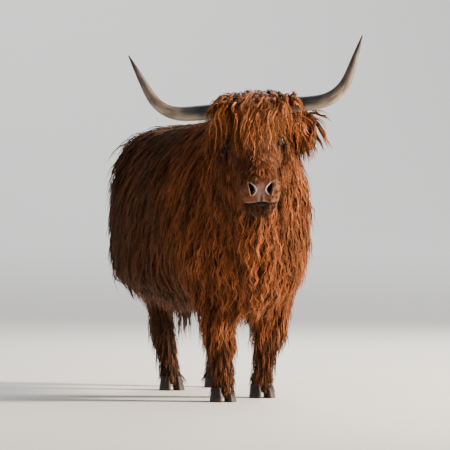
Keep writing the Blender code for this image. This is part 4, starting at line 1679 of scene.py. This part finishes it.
class Coat:
    """The whole coat: which way the hair lies, how it grows, and the pieces that it is laid in."""

    @staticmethod
    def body_flow(points: Array, normals: Array) -> Array:
        """Back along the spine, out and down the sides, and straight down the legs."""
        x, y, z = (points - STANCE).T[:, :, None]
        up = normals[:, 2:]
        out = np.sign(x) * LEFTWARD
        leg = ramp(z, 0.46, 0.36)
        waver = (0.22 * ripple(points, 0.30, 11) + 0.16 * ripple(points, 0.10, 12))[:, None]
        spine = bell(x, 0.0, 0.07) * ramp(up, 0.5, 0.8)
        back = (0.34 - 0.20 * ramp(y, -0.30, -0.60) + waver) * (1 - leg) + 1.3 * spine
        wanted = -UP + BACKWARD * back + out * (0.75 * ramp(up, 0.35, 0.95) * (1 - 0.7 * spine))
        return unit(tangent(wanted, normals) + 1e-6)

    @staticmethod
    def body_style(points: Array, normals: Array) -> Lock:
        """Long on the flanks, waved on the breast, hanging under the belly, short down the legs."""
        place, up = points - STANCE, normals[:, 2]
        y, z = place[:, 1], place[:, 2]
        front, hips, back = ramp(y, -0.28, -0.50), BodySkin.hips(place), ramp(up, 0.5, 0.9)
        belly = ramp(up, -0.25, -0.75) * ramp(z, 0.34, 0.38)
        leg, shin, foot = ramp(z, 0.42, 0.33), ramp(z, 0.31, 0.25), ramp(z, 0.15, 0.10)

        def blend(base: float, *turns: tuple[Array, float]) -> Array:
            """A value moved to each next one by its share."""
            value = np.full(len(points), base)
            for share, goal in turns:
                value = value + (goal - value) * share
            return value

        length = blend(
            0.225, (back, 0.170), (front, 0.175), (belly, 0.130), (leg, 0.140), (shin, 0.095), (foot, 0.084)
        )
        lift = blend(0.34, (back, 0.30), (hips, 0.55), (front, 0.45), (belly, 0.6), (leg, 0.6))
        lift = lift + (0.45 - lift) * shin
        return Lock(
            length=np.minimum(length, 1.2 * np.maximum(z - 0.012, 0.02)),
            width=blend(0.0050, (front, 0.0047), (leg, 0.0040), (shin, 0.0034)),
            lift=lift + (0.35 - lift) * foot,
            lie=blend(0.036, (hips, 0.054), (front, 0.054), (leg, 0.052), (shin, 0.042), (foot, 0.032)),
            droop=blend(0.35, (front, 0.5), (belly, 1.6), (leg, 0.8), (foot, 1.4)),
            hold=blend(0.75, (belly, 0.0), (leg, 0.4), (shin, 0.4), (foot, 0.2)),
            wave=blend(0.0062, (back, 0.0045), (front, 0.0080), (leg, 0.0040), (shin, 0.0020)),
            wavelength=blend(0.115, (front, 0.068), (leg, 0.050), (shin, 0.035)),
            spread=blend(0.020, (front, 0.017), (leg, 0.013), (shin, 0.010)),
            gather=blend(0.80, (front, 0.84), (shin, 0.7)),
        )

    @staticmethod
    def face_style(points: Array, normals: Array) -> Lock:
        """Short and close on the face, longer down the cheeks, the jaw and the chin."""
        _, along, above = HEAD.local(points).T
        jaw, back = ramp(above, -0.10, -0.19), ramp(along, 0.26, 0.10)
        muzzle = ramp(along, 0.365, 0.425)
        chin = muzzle * ramp(above, -0.097, -0.112)
        length = 0.048 + 0.022 * jaw + 0.034 * back - 0.032 * muzzle * (1 - chin) + 0.010 * chin
        return Lock(
            length=length,
            width=0.0033 + 0.022 * (length - 0.014) - 0.0015 * muzzle * (1 - chin),
            lift=0.24 + 0.25 * jaw + 0.35 * chin,
            lie=0.009 + 0.012 * jaw + 0.018 * back - 0.005 * muzzle * (1 - jaw),
            droop=0.3 + 0.4 * jaw + 0.9 * chin,
            hold=0.7 * (1 - 0.6 * jaw) * (1 - chin),
            wave=0.0010 + 0.0022 * back,
            wavelength=0.035,
            spread=0.012 + 0.005 * back - 0.005 * muzzle,
            gather=0.35,
        )

    @staticmethod
    def face_flow(points: Array, normals: Array) -> Array:
        """Down the face from the brow, and back a little over the cheeks."""
        return unit(tangent(-UP + 0.25 * BACKWARD, normals) + 1e-6)

    @staticmethod
    def forelock_flow(points: Array, normals: Array) -> Array:
        """From the crown down the face and out to both sides."""
        across, along, _ = HEAD.local(points).T[:, :, None]
        out = np.clip(across / 0.095, -1.4, 1.4)
        waver = 0.25 * ripple(points, 0.10, 21)[:, None]
        wanted = HEAD_AXES[1] * (0.80 - 0.30 * np.abs(out)) + HEAD_AXES[0] * (out * 0.80 + waver)
        wanted = wanted - UP * 0.30 + HEAD_FORWARD * 0.5 * ramp(along, 0.02, -0.05)
        return unit(tangent(wanted, normals * 0.8) + 1e-6)

    @staticmethod
    def forelock_style(points: Array, normals: Array) -> Lock:
        """Long wavy locks; the fountain draws how they rise and fall."""
        across, along, _ = HEAD.local(points).T
        side, behind = ramp(np.abs(across), 0.02, 0.10), ramp(along, 0.02, -0.08)
        return Lock(
            length=0.240 - 0.030 * side + 0.040 * behind + 0.025 * ripple(points, 0.03, 4),
            width=0.0036,
            lie=0.056 + 0.012 * side,
            wave=0.0110,
            wavelength=0.066,
            spread=0.0060,
            gather=0.88,
        )

    @staticmethod
    def crest_style(points: Array, normals: Array) -> Lock:
        """The shorter hair that fills the crown and the temples under the forelock."""
        return Lock(
            length=0.115, width=0.0056, lift=0.45, lie=0.026, droop=0.6, hold=0.7, wave=0.0045,
            wavelength=0.050, spread=0.013, gather=0.5,
        )

    @staticmethod
    def tail_flow(points: Array, normals: Array) -> Array:
        """Straight down the tail."""
        return np.broadcast_to(-UP, points.shape).copy()

    @staticmethod
    def tail_style(points: Array, normals: Array) -> Lock:
        """Short on the dock, and long at the end, where it hangs as the switch."""
        z = (points - STANCE)[:, 2]
        switch, top = ramp(z, 0.72, 0.55), ramp(z, 0.90, 1.02)
        return Lock(
            length=0.08 + 0.16 * switch,
            width=0.0040,
            lift=0.25 + 0.1 * switch,
            lie=0.012 + 0.014 * switch + 0.008 * top,
            droop=1.2,
            hold=0.6 * (1 - switch),
            wave=0.003 + 0.003 * switch,
            wavelength=0.06,
            spread=0.010,
            gather=0.7,
        )

    # Where each piece grows: 0 for bare hide, 1 for full density.
    @staticmethod
    def head_share(points: Array) -> Array:
        """1 on the head, 0 on the body."""
        across, along, above = HEAD.local(points).T
        return ramp(along, 0.015, 0.035) * ramp(above, -0.275, -0.262) * ramp(np.abs(across), 0.16, 0.15)

    @staticmethod
    def on_trunk(left: int, rear: bool, points: Array, normals: Array) -> Array:
        """Density over a quarter of the trunk: full, thicker on the spine, thinner on the belly."""
        (x, y, z), up = (points - STANCE).T, normals[:, 2]
        tail = (y > 0.875) & (z < 1.0)
        low = (z > 0.40) | ((z > 0.33) & (up < -0.40))
        on = (x * left > 0) & ((y > 0.17) == rear) & (y > -0.46) & low & ~tail
        spine = bell(x, 0.0, 0.06) * ramp(up, 0.5, 0.8)
        return on * (1.0 - 0.35 * ramp(up, -0.3, -0.9) + 2.0 * spine)

    @staticmethod
    def on_neck(left: int, points: Array, normals: Array) -> Array:
        """Density over a half of the neck and breast: full from the trunk's share to the head."""
        x, y, z = (points - STANCE).T
        return ((y <= -0.46) & (z > 0.40) & (x * left > 0)) * (1.0 - Coat.head_share(points))

    @staticmethod
    def on_leg(name: str, points: Array, normals: Array) -> Array:
        """Density over a leg: full from the trunk's hem to the coronet, thicker down the shin."""
        low, high = box_of(name)
        z = (points - STANCE)[:, 2]
        inside = np.all((points[:, :2] > low[:2] - 0.01) & (points[:, :2] < high[:2] + 0.01), axis=1)
        return inside * (z <= 0.40) * (z > 0.045) * (1.0 + 0.8 * ramp(z, 0.3, 0.15))

    @staticmethod
    def on_face(points: Array, normals: Array) -> Array:
        """Density over the face, bare at the nose, the lips and the lids, thick on the lower lip."""
        skin = HeadSkin()
        local = skin.settled(HEAD.local(points), -1)
        along, height = local[:, 1], skin.mouth_field(local)[0]
        eye = np.linalg.norm(local * np.sign(local[:, :1]) ** (1, 0, 0) - HEAD.eye, axis=1)
        thin = 1 - 0.10 * ramp(along, 0.400, 0.425) * ramp(height, 0.0, 0.008)
        lower = ramp(along, 0.37, 0.41) * ramp(height, -0.005, -0.010)
        fine = (1.0 + 1.6 * ramp(along, 0.20, 0.38)) * thin + 4.0 * lower
        furred = 1 - ramp(skin.bare(local), 0.10, 0.4)
        return Coat.head_share(points) * ramp(eye, 0.024, 0.030) * furred * fine

    @staticmethod
    def on_crown(points: Array, normals: Array) -> Array:
        """Density over the crown, where the forelock grows."""
        across, along, above = HEAD.local(points).T
        reach = ramp(along, -0.14, -0.10) * ramp(along, 0.070, 0.030) * ramp(np.abs(across), 0.135, 0.115)
        return reach * ramp(normals @ HEAD_AXES[2], -0.1, 0.4) * ramp(above, -0.13, -0.08)

    @staticmethod
    def on_temples(points: Array, normals: Array) -> Array:
        """Density over the crown, the brow and the sides of the head down to the cheeks."""
        across, along, above = HEAD.local(points).T
        reach = ramp(along, -0.15, -0.11) * ramp(along, 0.17, 0.12)
        return reach * ramp(np.abs(across), 0.15, 0.13) * ramp(above, -0.16, -0.12)

    @staticmethod
    def on_tail(points: Array, normals: Array) -> Array:
        """Density over the tail."""
        x, y, z = (points - STANCE).T
        return (y > 0.86) * (np.abs(x - 0.03) < 0.08) * (z > 0.40) * 1.0

    def pieces(self, horns: list[Horn], ears: list[Ear]) -> Iterator[CoatPiece]:
        """All the pieces of the coat, each with its own ground, lie and style.

        Args:
            horns: Kept clear of the forelock.
            ears: They grow fringes of their own.

        Yields:
            The pieces, in the order in which they are made.
        """
        body = {"flow": self.body_flow, "style": self.body_style}
        trunk_axis, neck_axis = (STANCE + (0, 0, 0.80), BACKWARD), (STANCE + (-0.03, 0, 0.85), BACKWARD)
        for left, side in ((1, "left"), (-1, "right")):
            for rear, end in enumerate(("fore", "rear")):
                yield CoatPiece(
                    f"coat_trunk_{end}_{side}", 860, 5, partial(self.on_trunk, left, bool(rear)),
                    axis=trunk_axis, seed=30 + left + 2 * rear, shine=1.2, **body,
                )
            yield CoatPiece(
                f"coat_neck_{side}", 380, 7, partial(self.on_neck, left), axis=neck_axis,
                seed=50 + left, rings=9, shine=1.4, **body,
            )
        for number, name in enumerate(LEGS):
            axis = (middle_of(name) * (1, 1, 0), UP)
            on_leg = partial(self.on_leg, name)
            yield CoatPiece(f"coat_{name}", 260, 5, on_leg, axis=axis, seed=60 + number, rings=5, **body)
        crown = {"flow": self.forelock_flow, "axis": (HEAD.world((0, 0.03, -0.10)), HEAD_AXES[1])}
        lock = {"where": self.on_crown, "style": self.forelock_style, **crown}
        lock["clear"] = self.kept_clear(horns)
        # the forelock's raised tone and strong shine brighten its top locks, partly as painted highlight
        yield CoatPiece(
            "coat_forelock", 160, 7, seed=71, rings=16, slot="long_hair", shine=2.3, fountain=Fountain(),
            stray=0.05, under=0.0, unrest=0.08, tone=1.22, uneven=0.50, **lock,
        )
        inner = Fountain(inset=0.05, reach=0.365, side_reach=0.200, flare=0.170)
        # the forelock's under layer is darkened by its tone: painted shade under the top locks
        yield CoatPiece(
            "coat_forelock_under", 220, 8, seed=74, rings=12, slot="long_hair", fountain=inner, under=0.1,
            tone=0.36, uneven=0.50, **lock,
        )
        # the crest is darkened by its tone: painted shade under the forelock
        yield CoatPiece(
            "coat_crest", 170, 8, self.on_temples, style=self.crest_style, seed=73, rings=7, slot="long_hair",
            shine=0.7, clear=self.kept_clear([]), tone=0.34, loose=0.0, **crown,
        )
        # the face hair is darkened by its tone: painted shade of the face under the forelock
        yield CoatPiece(
            "coat_face", 950, 7, self.on_face, self.face_flow, self.face_style,
            (HEAD.world((0, 0, -0.10)), HEAD_AXES[1]), 72, rings=5, clear=self.kept_clear([]), under=0.0,
            tone=0.74,
        )
        for number, ear in enumerate(ears):
            yield ear.coat(80 + number)
        tail_axis = (middle_of("tail") * (1, 1, 0), UP)
        yield CoatPiece(
            "coat_tail", 110, 8, self.on_tail, self.tail_flow, self.tail_style, tail_axis, 90,
            slot="long_hair",
        )

    @staticmethod
    def kept_clear(horns: list[Horn]) -> tuple[Array, Array]:
        """Balls that no tuft may cross: along the horns, and out from each eye.

        Args:
            horns: The horns to keep clear.

        Returns:
            Centres and radii.
        """
        centres, radii = [], []
        for horn in horns:
            centres.append(horn.axis(40)[3:])
            radii.append(np.interp(np.linspace(0, 1, 40), *zip(*horn.radii))[3:] - 0.002)
        reach = np.linspace(0.010, 0.09, 9)[:, None]
        for side, sight, radius in (
            (-1, (-0.80, 0.52, 0.12), 0.0115),
            (1, (0.80, 0.52, 0.12), 0.0115),
            (1, (0.22, 0.66, 0.70), 0.0085),
        ):
            centres.append(HEAD.world(HEAD.eye * np.array((side, 1, 1)) + unit(np.array(sight)) * reach))
            radii.append(np.full(len(reach), radius))
        return np.vstack(centres), np.concatenate(radii)


# ---- Horns, hooves and eyes ------------------------------------------------------------------
@dataclass(frozen=True)
class Horn:
    """A horn that sweeps out level and then turns up, paler in the middle, dark at the tip.

    Attributes:
        side: 1 for the left horn, -1 for the right.
        length: Along its curve.
        radii: Shares of the length with the radius there.
        root: Across, and below the poll.
        rise: How far it has turned up at its tip.
        sweep: How far it leads forward at the root and back at the tip.
        growth_ring: From one growth ring to the next.
        rings: Rings along it.
        around: Points on each ring.
    """

    side: int
    length: float = 0.548
    radii: tuple = ((0, 0.0335), (0.35, 0.0303), (0.52, 0.0262), (0.68, 0.0200), (0.84, 0.0128), (1, 0.0022))
    root: tuple[float, float] = (0.085, 0.020)
    rise: float = math.radians(66.0)
    sweep: float = math.radians(16.0)
    growth_ring: float = 0.013
    rings: int = 210
    around: int = 40

    @property
    def name(self) -> str:
        """The solid it stands for."""
        return "horn_left" if self.side > 0 else "horn_right"

    def axis(self, count: int) -> Array:
        """The middle line, whose heading turns from level to the rise angle on the way.

        Args:
            count: How many points to read from it, evenly.

        Returns:
            The points.
        """
        share = (np.arange(count * 4) + 0.5) / (count * 4)
        up = self.rise * ramp(share * self.length, 0.150, 0.400)
        lead = self.sweep * np.cos(math.pi * share)
        out = self.side * HEAD_AXES[0] * np.cos(lead)[:, None] + HEAD_FORWARD * np.sin(lead)[:, None]
        heading = out * np.cos(up)[:, None] + HEAD_RISE * np.sin(up)[:, None]
        start = HEAD.origin + self.side * self.root[0] * HEAD_AXES[0] - self.root[1] * HEAD_RISE
        line = start + np.vstack((np.zeros(3), np.cumsum(heading, axis=0) * self.length / len(share)))
        pick = np.linspace(0, len(line) - 1, count)
        return np.stack([np.interp(pick, np.arange(len(line)), column) for column in line.T], axis=1)

    def mesh(self) -> Mesh:
        """Circles along the middle line, with growth rings near the root and a rounded tip.

        Returns:
            The horn, with its tint and its map of the grain: round it and along it, in metres.
        """
        line = self.axis(self.rings)
        share = np.linspace(0, 1, self.rings)
        heading = unit(np.gradient(line, axis=0))
        first = unit(np.cross(heading, HEAD_FORWARD))
        second = np.cross(heading, first)
        turn = np.linspace(0, FULL_TURN, self.around, endpoint=False)
        radius = np.interp(share, *zip(*self.radii))
        soft = np.convolve(np.pad(radius, 12, mode="edge"), np.ones(25) / 25, mode="valid")
        radius = np.where(share > 0.95, radius, soft)
        arc = share * self.length
        growth = 0.5 + 0.5 * np.sin(arc * FULL_TURN / self.growth_ring + 1.5 * np.sin(arc * 40))
        rough = np.exp(-arc / 0.10)
        circle = np.stack((0 * turn, 0.03 * np.cos(turn), 0.03 * np.sin(turn)), -1)
        place = circle[None] + arc[:, None, None] * (0.22, 0.0, 0.0)
        uneven = ripple(place.reshape(-1, 3), 0.016, 3).reshape(self.rings, self.around)
        swell = 1 - 0.030 * ((1 - growth) * rough)[:, None] + 0.02 * uneven * rough[:, None]
        tip = np.sqrt(1 - ((share - 0.992) / 0.008).clip(0, 1) ** 2)
        size = (radius * tip)[:, None] * swell
        c, s = np.cos(turn)[None, :, None], np.sin(turn)[None, :, None]
        points = line[:, None] + (first[:, None] * c + second[:, None] * s) * size[..., None]
        surface = grid_surface(points, self.colours(share, turn, uneven, growth * rough))
        mesh = surface.mesh(f"{self.name}_sheath")
        ring, place = np.divmod(np.minimum(surface.faces, self.rings * self.around - 1), self.around)
        seam = np.sign(place[:, :1] - place) * (np.abs(place[:, :1] - place) > self.around / 2)
        round_it = (place / self.around + seam) * 0.18
        lay_map(mesh, "grain", np.stack((round_it, ring / self.rings * self.length), -1))
        return mesh

    def colours(self, share: Array, turn: Array, uneven: Array, growth: Array) -> Array:
        """Slate and streaked at the root, cream through the bend, and dark at the tip.

        Args:
            share: Of the length, for each ring.
            turn: The angle of each place on a ring.
            uneven: Noise from -1 to 1 for each place of each ring.
            growth: Height of the growth rings, for each ring.

        Returns:
            A colour for each place of each ring.
        """
        cream, brown = Tint.HORN_CREAM.rgb, Tint.HORN_BROWN.rgb
        under = 0.5 + 0.5 * self.side * np.cos(turn)[None, :]
        place = share[:, None] + 0.035 * uneven
        colour = layered(
            np.broadcast_to(Tint.HORN_SLATE.rgb, (*place.shape, 3)),
            (cream, (0.35 + 0.6 * under) * ramp(place + 0.20 * under, 0.36, 0.54)),
            (cream * 0.8, 0.60 * ramp(under, 0.6, 0.9) * ramp(place, 0.02, 0.10)),
            (brown, ramp(uneven, -0.25, 0.35) * 0.85 * ramp(place, 0.34, 0.50)),
            (brown, 0.65 * ramp(place, 0.50, 0.66) * (0.5 + 0.5 * under)),
            (Tint.HORN_TIP.rgb, ramp(place, 0.78, 0.92)),
            (cream * 0.7, 0.35 * ramp(-uneven, 0.1, 0.6) * ramp(place, 0.35, 0.15)),
        )
        return colour * (0.80 + 0.20 * (1 - growth))[:, None, None]


@dataclass(frozen=True)
class Hooves:
    """Eight claws: curved horn walls with growth grooves, over flat soles.

    Attributes:
        rings: Rings from sole to coronet.
        around: Points on each ring.
        grooves: How many growth grooves it has.
    """

    rings: int = 34
    around: int = 44
    grooves: float = 7.5

    def claw(self, name: str) -> Surface:
        """One claw, filling the box of its solid.

        A ring is a long oval, pointed at the toe and flat on the side towards its twin. Rings
        shrink and lean back as they rise to the coronet.

        Args:
            name: The solid's name, which ends with the claw's side of the foot.

        Returns:
            The claw, coloured.
        """
        low, high = box_of(name)
        half, middle = (high - low) / 2, (high + low) / 2
        inner = -1.0 if name.endswith("left") else 1.0
        t = np.linspace(0, 1, self.rings)[:, None]
        turn = np.linspace(0, FULL_TURN, self.around, endpoint=False)[None]
        c, s = np.cos(turn), np.sin(turn)
        x = np.sign(c) * np.abs(c) ** 0.85
        y = np.sign(s) * np.abs(s) ** (0.95 + 0.25 * (s < 0))
        flat = 1 - 0.20 * ramp(x * inner, 0.0, 1.0)
        toe = 1 - 0.30 * ramp(-y, 0.30, 1.0) - 0.12 * ramp(y, 0.4, 1.0)
        waves = t * FULL_TURN * self.grooves
        grooved = 1 - 0.014 * (0.5 + 0.5 * np.sin(waves)) * ramp(t, 0.05, 0.2)
        bevel = 1 - 0.10 * (1 - ramp(t, 0.0, 0.06))
        shrink = (1 - 0.30 * t**1.2) * grooved * bevel
        px = middle[0] + x * flat * toe * half[0] * shrink
        px = px + inner * half[0] * (0.22 * ramp(-y, 0.3, 1.0) + 0.10 * t)
        py = middle[1] + y * half[1] * shrink * 0.96 + half[1] * 0.30 * t
        pz = low[2] + t * (high[2] - low[2]) * (1.02 - 0.20 * ramp(y, -1.0, 1.0))
        points = np.stack(np.broadcast_arrays(px, py, pz), -1)
        pale = 0.30 * (0.5 + 0.5 * np.sin(waves + 1.0)) + 0.55 * ramp(t, 0.5, 0.0) + 0 * px
        return grid_surface(points, mix(Tint.CLAW.rgb, Tint.CLAW_PALE.rgb, np.clip(pale, 0, 1)))

    def mesh(self) -> Mesh:
        """All the claws as one mesh, with a map of the grain: round them and up them, in metres."""
        sides = ("right", "left")
        names = [f"claw_{end}_{leg}_{side}" for end in ("front", "hind") for leg in sides for side in sides]
        whole = self.claw(names[0])
        for name in names[1:]:
            whole = whole.joined(self.claw(name))
        mesh = whole.mesh("hooves")
        x, y, z = whole.verts[whole.faces.ravel()].T
        lay_map(mesh, "grain", np.stack((x + y, z), -1))
        return mesh


@dataclass(frozen=True)
class Eye:
    """An eyeball: dark sclera, brown iris, a level oval pupil and a bulging cornea.

    Attributes:
        side: 1 for the left eye, -1 for the right.
        radius: Of the ball.
        iris: Radius of the iris.
        pupil: Half width and half height of the pupil.
    """

    side: int
    radius: float = 0.0200
    iris: float = 0.0135
    pupil: tuple[float, float] = (0.0090, 0.0048)

    def surface(self) -> Surface:
        """A ball in rings about its line of sight, with a cornea that swells over the iris.

        The pupil is a level oval, and fine rays cross the iris.
        """
        seat, sight = HEAD.eye_seat(self.side)
        look = sight @ HEAD_AXES
        level = unit(np.cross(UP, look))
        polar = np.linspace(0.02, math.pi - 0.02, 72)[:, None]
        turn = np.linspace(0, FULL_TURN, 72, endpoint=False)[None]
        cornea = 1 + 0.055 * ramp(self.radius * np.sin(polar), self.iris * 1.1, 0.0) * (polar < math.pi / 2)
        size = self.radius * cornea
        across = np.sin(polar) * size
        x, y, z = np.broadcast_arrays(across * np.cos(turn), across * np.sin(turn), np.cos(polar) * size)
        x, y, z = (axis[..., None] for axis in (x, y, z))
        points = HEAD.world(seat) + x * level + y * np.cross(look, level) + z * look
        x, y = x[..., 0], y[..., 0]
        out, angle = np.sqrt(x**2 + y**2), np.arctan2(y, x)
        pupil = np.sqrt((x / self.pupil[0]) ** 2 + (y / self.pupil[1]) ** 2)
        iris = mix(Tint.PUPIL.rgb, Tint.IRIS.rgb, ramp(pupil, 0.85, 1.15))
        rays = 0.75 + 0.25 * np.sin(angle * 26) * np.sin(angle * 7)
        colour = layered(
            iris * rays[..., None],
            (Tint.IRIS_RIM.rgb, ramp(out, self.iris * 0.86, self.iris * 0.98)),
            (Tint.SCLERA.rgb, ramp(out, self.iris * 1.12, self.iris * 1.3)),
        )
        return grid_surface(points, colour)


# ---- Studio ----------------------------------------------------------------------------------
@dataclass(frozen=True)
class SoftLight:
    """A square soft light.

    Attributes:
        name: The light's name.
        place: From the cow's origin.
        aim: What it points at, from the same origin.
        power: In watts.
        size: Side of the square, or its width.
        colour: Red, green and blue.
        length: Of the other side, where it is an oblong.
    """

    name: str
    place: tuple[float, float, float]
    aim: tuple[float, float, float]
    power: float
    size: float
    colour: tuple[float, float, float]
    length: float = 0.0

    def build(self) -> Object:
        """Adds the light, hidden from the camera."""
        lamp = bpy.data.lights.new(self.name, "AREA")
        lamp.energy, lamp.size, lamp.color = self.power, self.size, self.colour
        if self.length:
            lamp.shape, lamp.size_y = "RECTANGLE", self.length
        made = placed(self.name, lamp)
        made.visible_camera = False
        made.matrix_world = facing(STANCE + self.place, STANCE + self.aim)
        return made


def facing(place: Array, aim: Array) -> Matrix:
    """The matrix of an object at a place whose -Z axis points at an aim, with +Y up."""
    turn = Vector(aim - place).to_track_quat("-Z", "Y").to_matrix().to_4x4()
    return Matrix.Translation(Vector(place)) @ turn


@dataclass(frozen=True)
class Studio:
    """A wide pale floor that turns up into a far wall, soft lights and the camera.

    Attributes:
        flat: Radius of the level floor.
        far: Radius of the wall.
        height: Of the wall.
        around: Points on each ring of both.
        camera: The camera's place from the cow's origin.
        aim: What it looks at.
        lens: Its focal length in millimetres.
    """

    flat: float = 40.0
    far: float = 95.0
    height: float = 60.0
    around: int = 96
    camera: tuple[float, float, float] = (-4.508, -19.526, 1.0)
    aim: tuple[float, float, float] = (0.0, 0.0, 0.727)
    lens: float = 376.0

    def floor(self) -> Object:
        """The dish: level in the middle, rising along a quarter turn to its rim."""
        turn = np.linspace(0, FULL_TURN, self.around, endpoint=False)
        lift = np.linspace(0, math.pi / 2, 40)
        bend = self.flat + (self.far - self.flat) * np.sin(lift)
        radius = np.concatenate(((0.5, 4.0, 12.0, 25.0), bend))[:, None]
        rise = np.concatenate((np.zeros(4), self.height * (1 - np.cos(lift))))[:, None]
        rings = np.stack((radius * np.cos(turn), radius * np.sin(turn), rise + 0 * turn), -1)
        disc = np.arange(self.around)
        i, j = (axis.ravel() for axis in np.meshgrid(np.arange(len(radius) - 1), disc, indexing="ij"))
        a, b = i * self.around + j, i * self.around + (j + 1) % self.around
        quads = np.stack((a, a + self.around, b + self.around, b), -1)
        loops = np.concatenate((quads.ravel(), disc))
        mesh = new_mesh("studio_floor", rings.reshape(-1, 3) + STANCE, loops, np.arange(len(quads) + 1) * 4)
        mesh.materials.append(FloorFinish().material())
        made = placed("studio_floor", mesh)
        return made

    def world(self) -> None:
        """An even pale sky."""
        sky = bpy.data.worlds.new("studio_sky")
        sky.use_nodes = True
        back = sky.node_tree.nodes["Background"]
        back.inputs["Color"].default_value = (0.86, 0.91, 1.0, 1.0)
        back.inputs["Strength"].default_value = 0.27
        bpy.context.scene.world = sky

    def lights(self) -> None:
        """A warm key in front to the right, a weak fill, a rim from behind, and a light on the far floor."""
        key = SoftLight("key", (7.3, -3.2, 3.8), (0.0, -0.2, 0.8), 2900.0, 1.8, (1.0, 0.87, 0.70))
        fill = SoftLight("fill", (-5.5, -4.0, 2.6), (0.0, 0.0, 0.7), 20.0, 4.0, (0.86, 0.93, 1.0))
        rim = SoftLight("rim", (3.0, 5.5, 4.8), (0.0, 0.2, 1.0), 420.0, 2.6, (1.0, 0.95, 0.88))
        far = SoftLight("far", (8.5, 38.0, 15.0), (8.5, 38.01, 0.0), 8000.0, 20.0, (1.0, 1.0, 1.0), 60.0)
        for light in (key, fill, rim, far):
            light.build()

    def shoot(self) -> None:
        """Adds the camera and makes it the scene's own."""
        lens = bpy.data.cameras.new("camera")
        lens.lens, lens.sensor_width = self.lens, 36.0
        lens.clip_end = 500.0
        made = placed("camera", lens)
        made.matrix_world = facing(STANCE + self.camera, STANCE + self.aim)
        bpy.context.scene.camera = made

    def build(self) -> None:
        """Adds everything that isn't the cow."""
        self.floor()
        self.world()
        self.lights()
        self.shoot()


# ---- The whole cow ---------------------------------------------------------------------------
def fuse(first: Surface, others: list[Surface]) -> Surface:
    """One closed surface from several that cross, by an exact Boolean union.

    Args:
        first: The surface that the rest are joined to.
        others: The rest, which may cross each other too.

    Returns:
        The union, each point in the colour of the nearest point that went in.
    """
    rest = others[0]
    for other in others[1:]:
        rest = rest.joined(other)
    shell, addition = (placed(name, part.mesh(name)) for name, part in (("shell", first), ("addition", rest)))
    union = shell.modifiers.new("union", "BOOLEAN")
    union.operation, union.solver, union.object, union.use_self = "UNION", "EXACT", addition, True
    verts, faces = modified(shell)
    source = first.joined(rest)
    tree = KDTree(len(source.verts))
    for number, point in enumerate(source.verts):
        tree.insert(point, number)
    tree.balance()
    nearest = [tree.find(point)[1] for point in verts]
    for item in (shell, addition):
        bpy.data.objects.remove(item)
    return Surface(verts, faces, source.colours[nearest])


def main() -> None:
    """Builds the cow and its studio in order."""
    logging.basicConfig(level=logging.INFO, format="%(message)s", stream=sys.stdout)
    ears = [Ear("ear_left", 1, (0.93, 0.24, -0.20)), Ear("ear_right", -1, (0.50, -0.74, -0.45))]
    horns = [Horn(1), Horn(-1)]
    head = HeadSkin()
    hide = fuse(BodySkin().surface(head.core()), [head.surface()] + [ear.surface() for ear in ears])
    flesh = ("trunk", "neck", "head", "tail", "tail_switch", "forelock", "ear_left", "ear_right") + LEGS
    skin = add_piece(hide.mesh("skin"), "coat", HideFinish().material(), *flesh)
    local = HEAD.local(hide.verts)
    on_face = (local[:, 1] > 0.36) & (local[:, 2] > -0.2) & (np.abs(local[:, 0]) < 0.1)
    bare = skin.data.attributes.new(name="bare", type="FLOAT", domain="POINT")
    bare.data.foreach_set("value", (head.bare(head.settled(local, -1)) * on_face).astype(np.float32))
    horn_finish = HornFinish("horn_sheath", 0.42).material()
    for horn in horns:
        add_piece(horn.mesh(), "horn", horn_finish, horn.name)
    claws = [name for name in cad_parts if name.startswith("claw_")]
    add_piece(Hooves().mesh(), "hoof", HornFinish("hoof_horn", 0.62).material(), *claws)
    eye_finish = EyeFinish().material()
    for side, name in ((1, "left"), (-1, "right")):
        add_piece(Eye(side).surface().mesh(f"eyeball_{name}"), "eye", eye_finish, f"eye_{name}")
    terrain = Terrain(hide, 16000, 1)
    hair = HairFinish().material()
    for piece in Coat().pieces(horns, ears):
        add_piece(piece.mesh(terrain), piece.slot, hair)
    Studio().build()


if __name__ == "__main__":
    main()
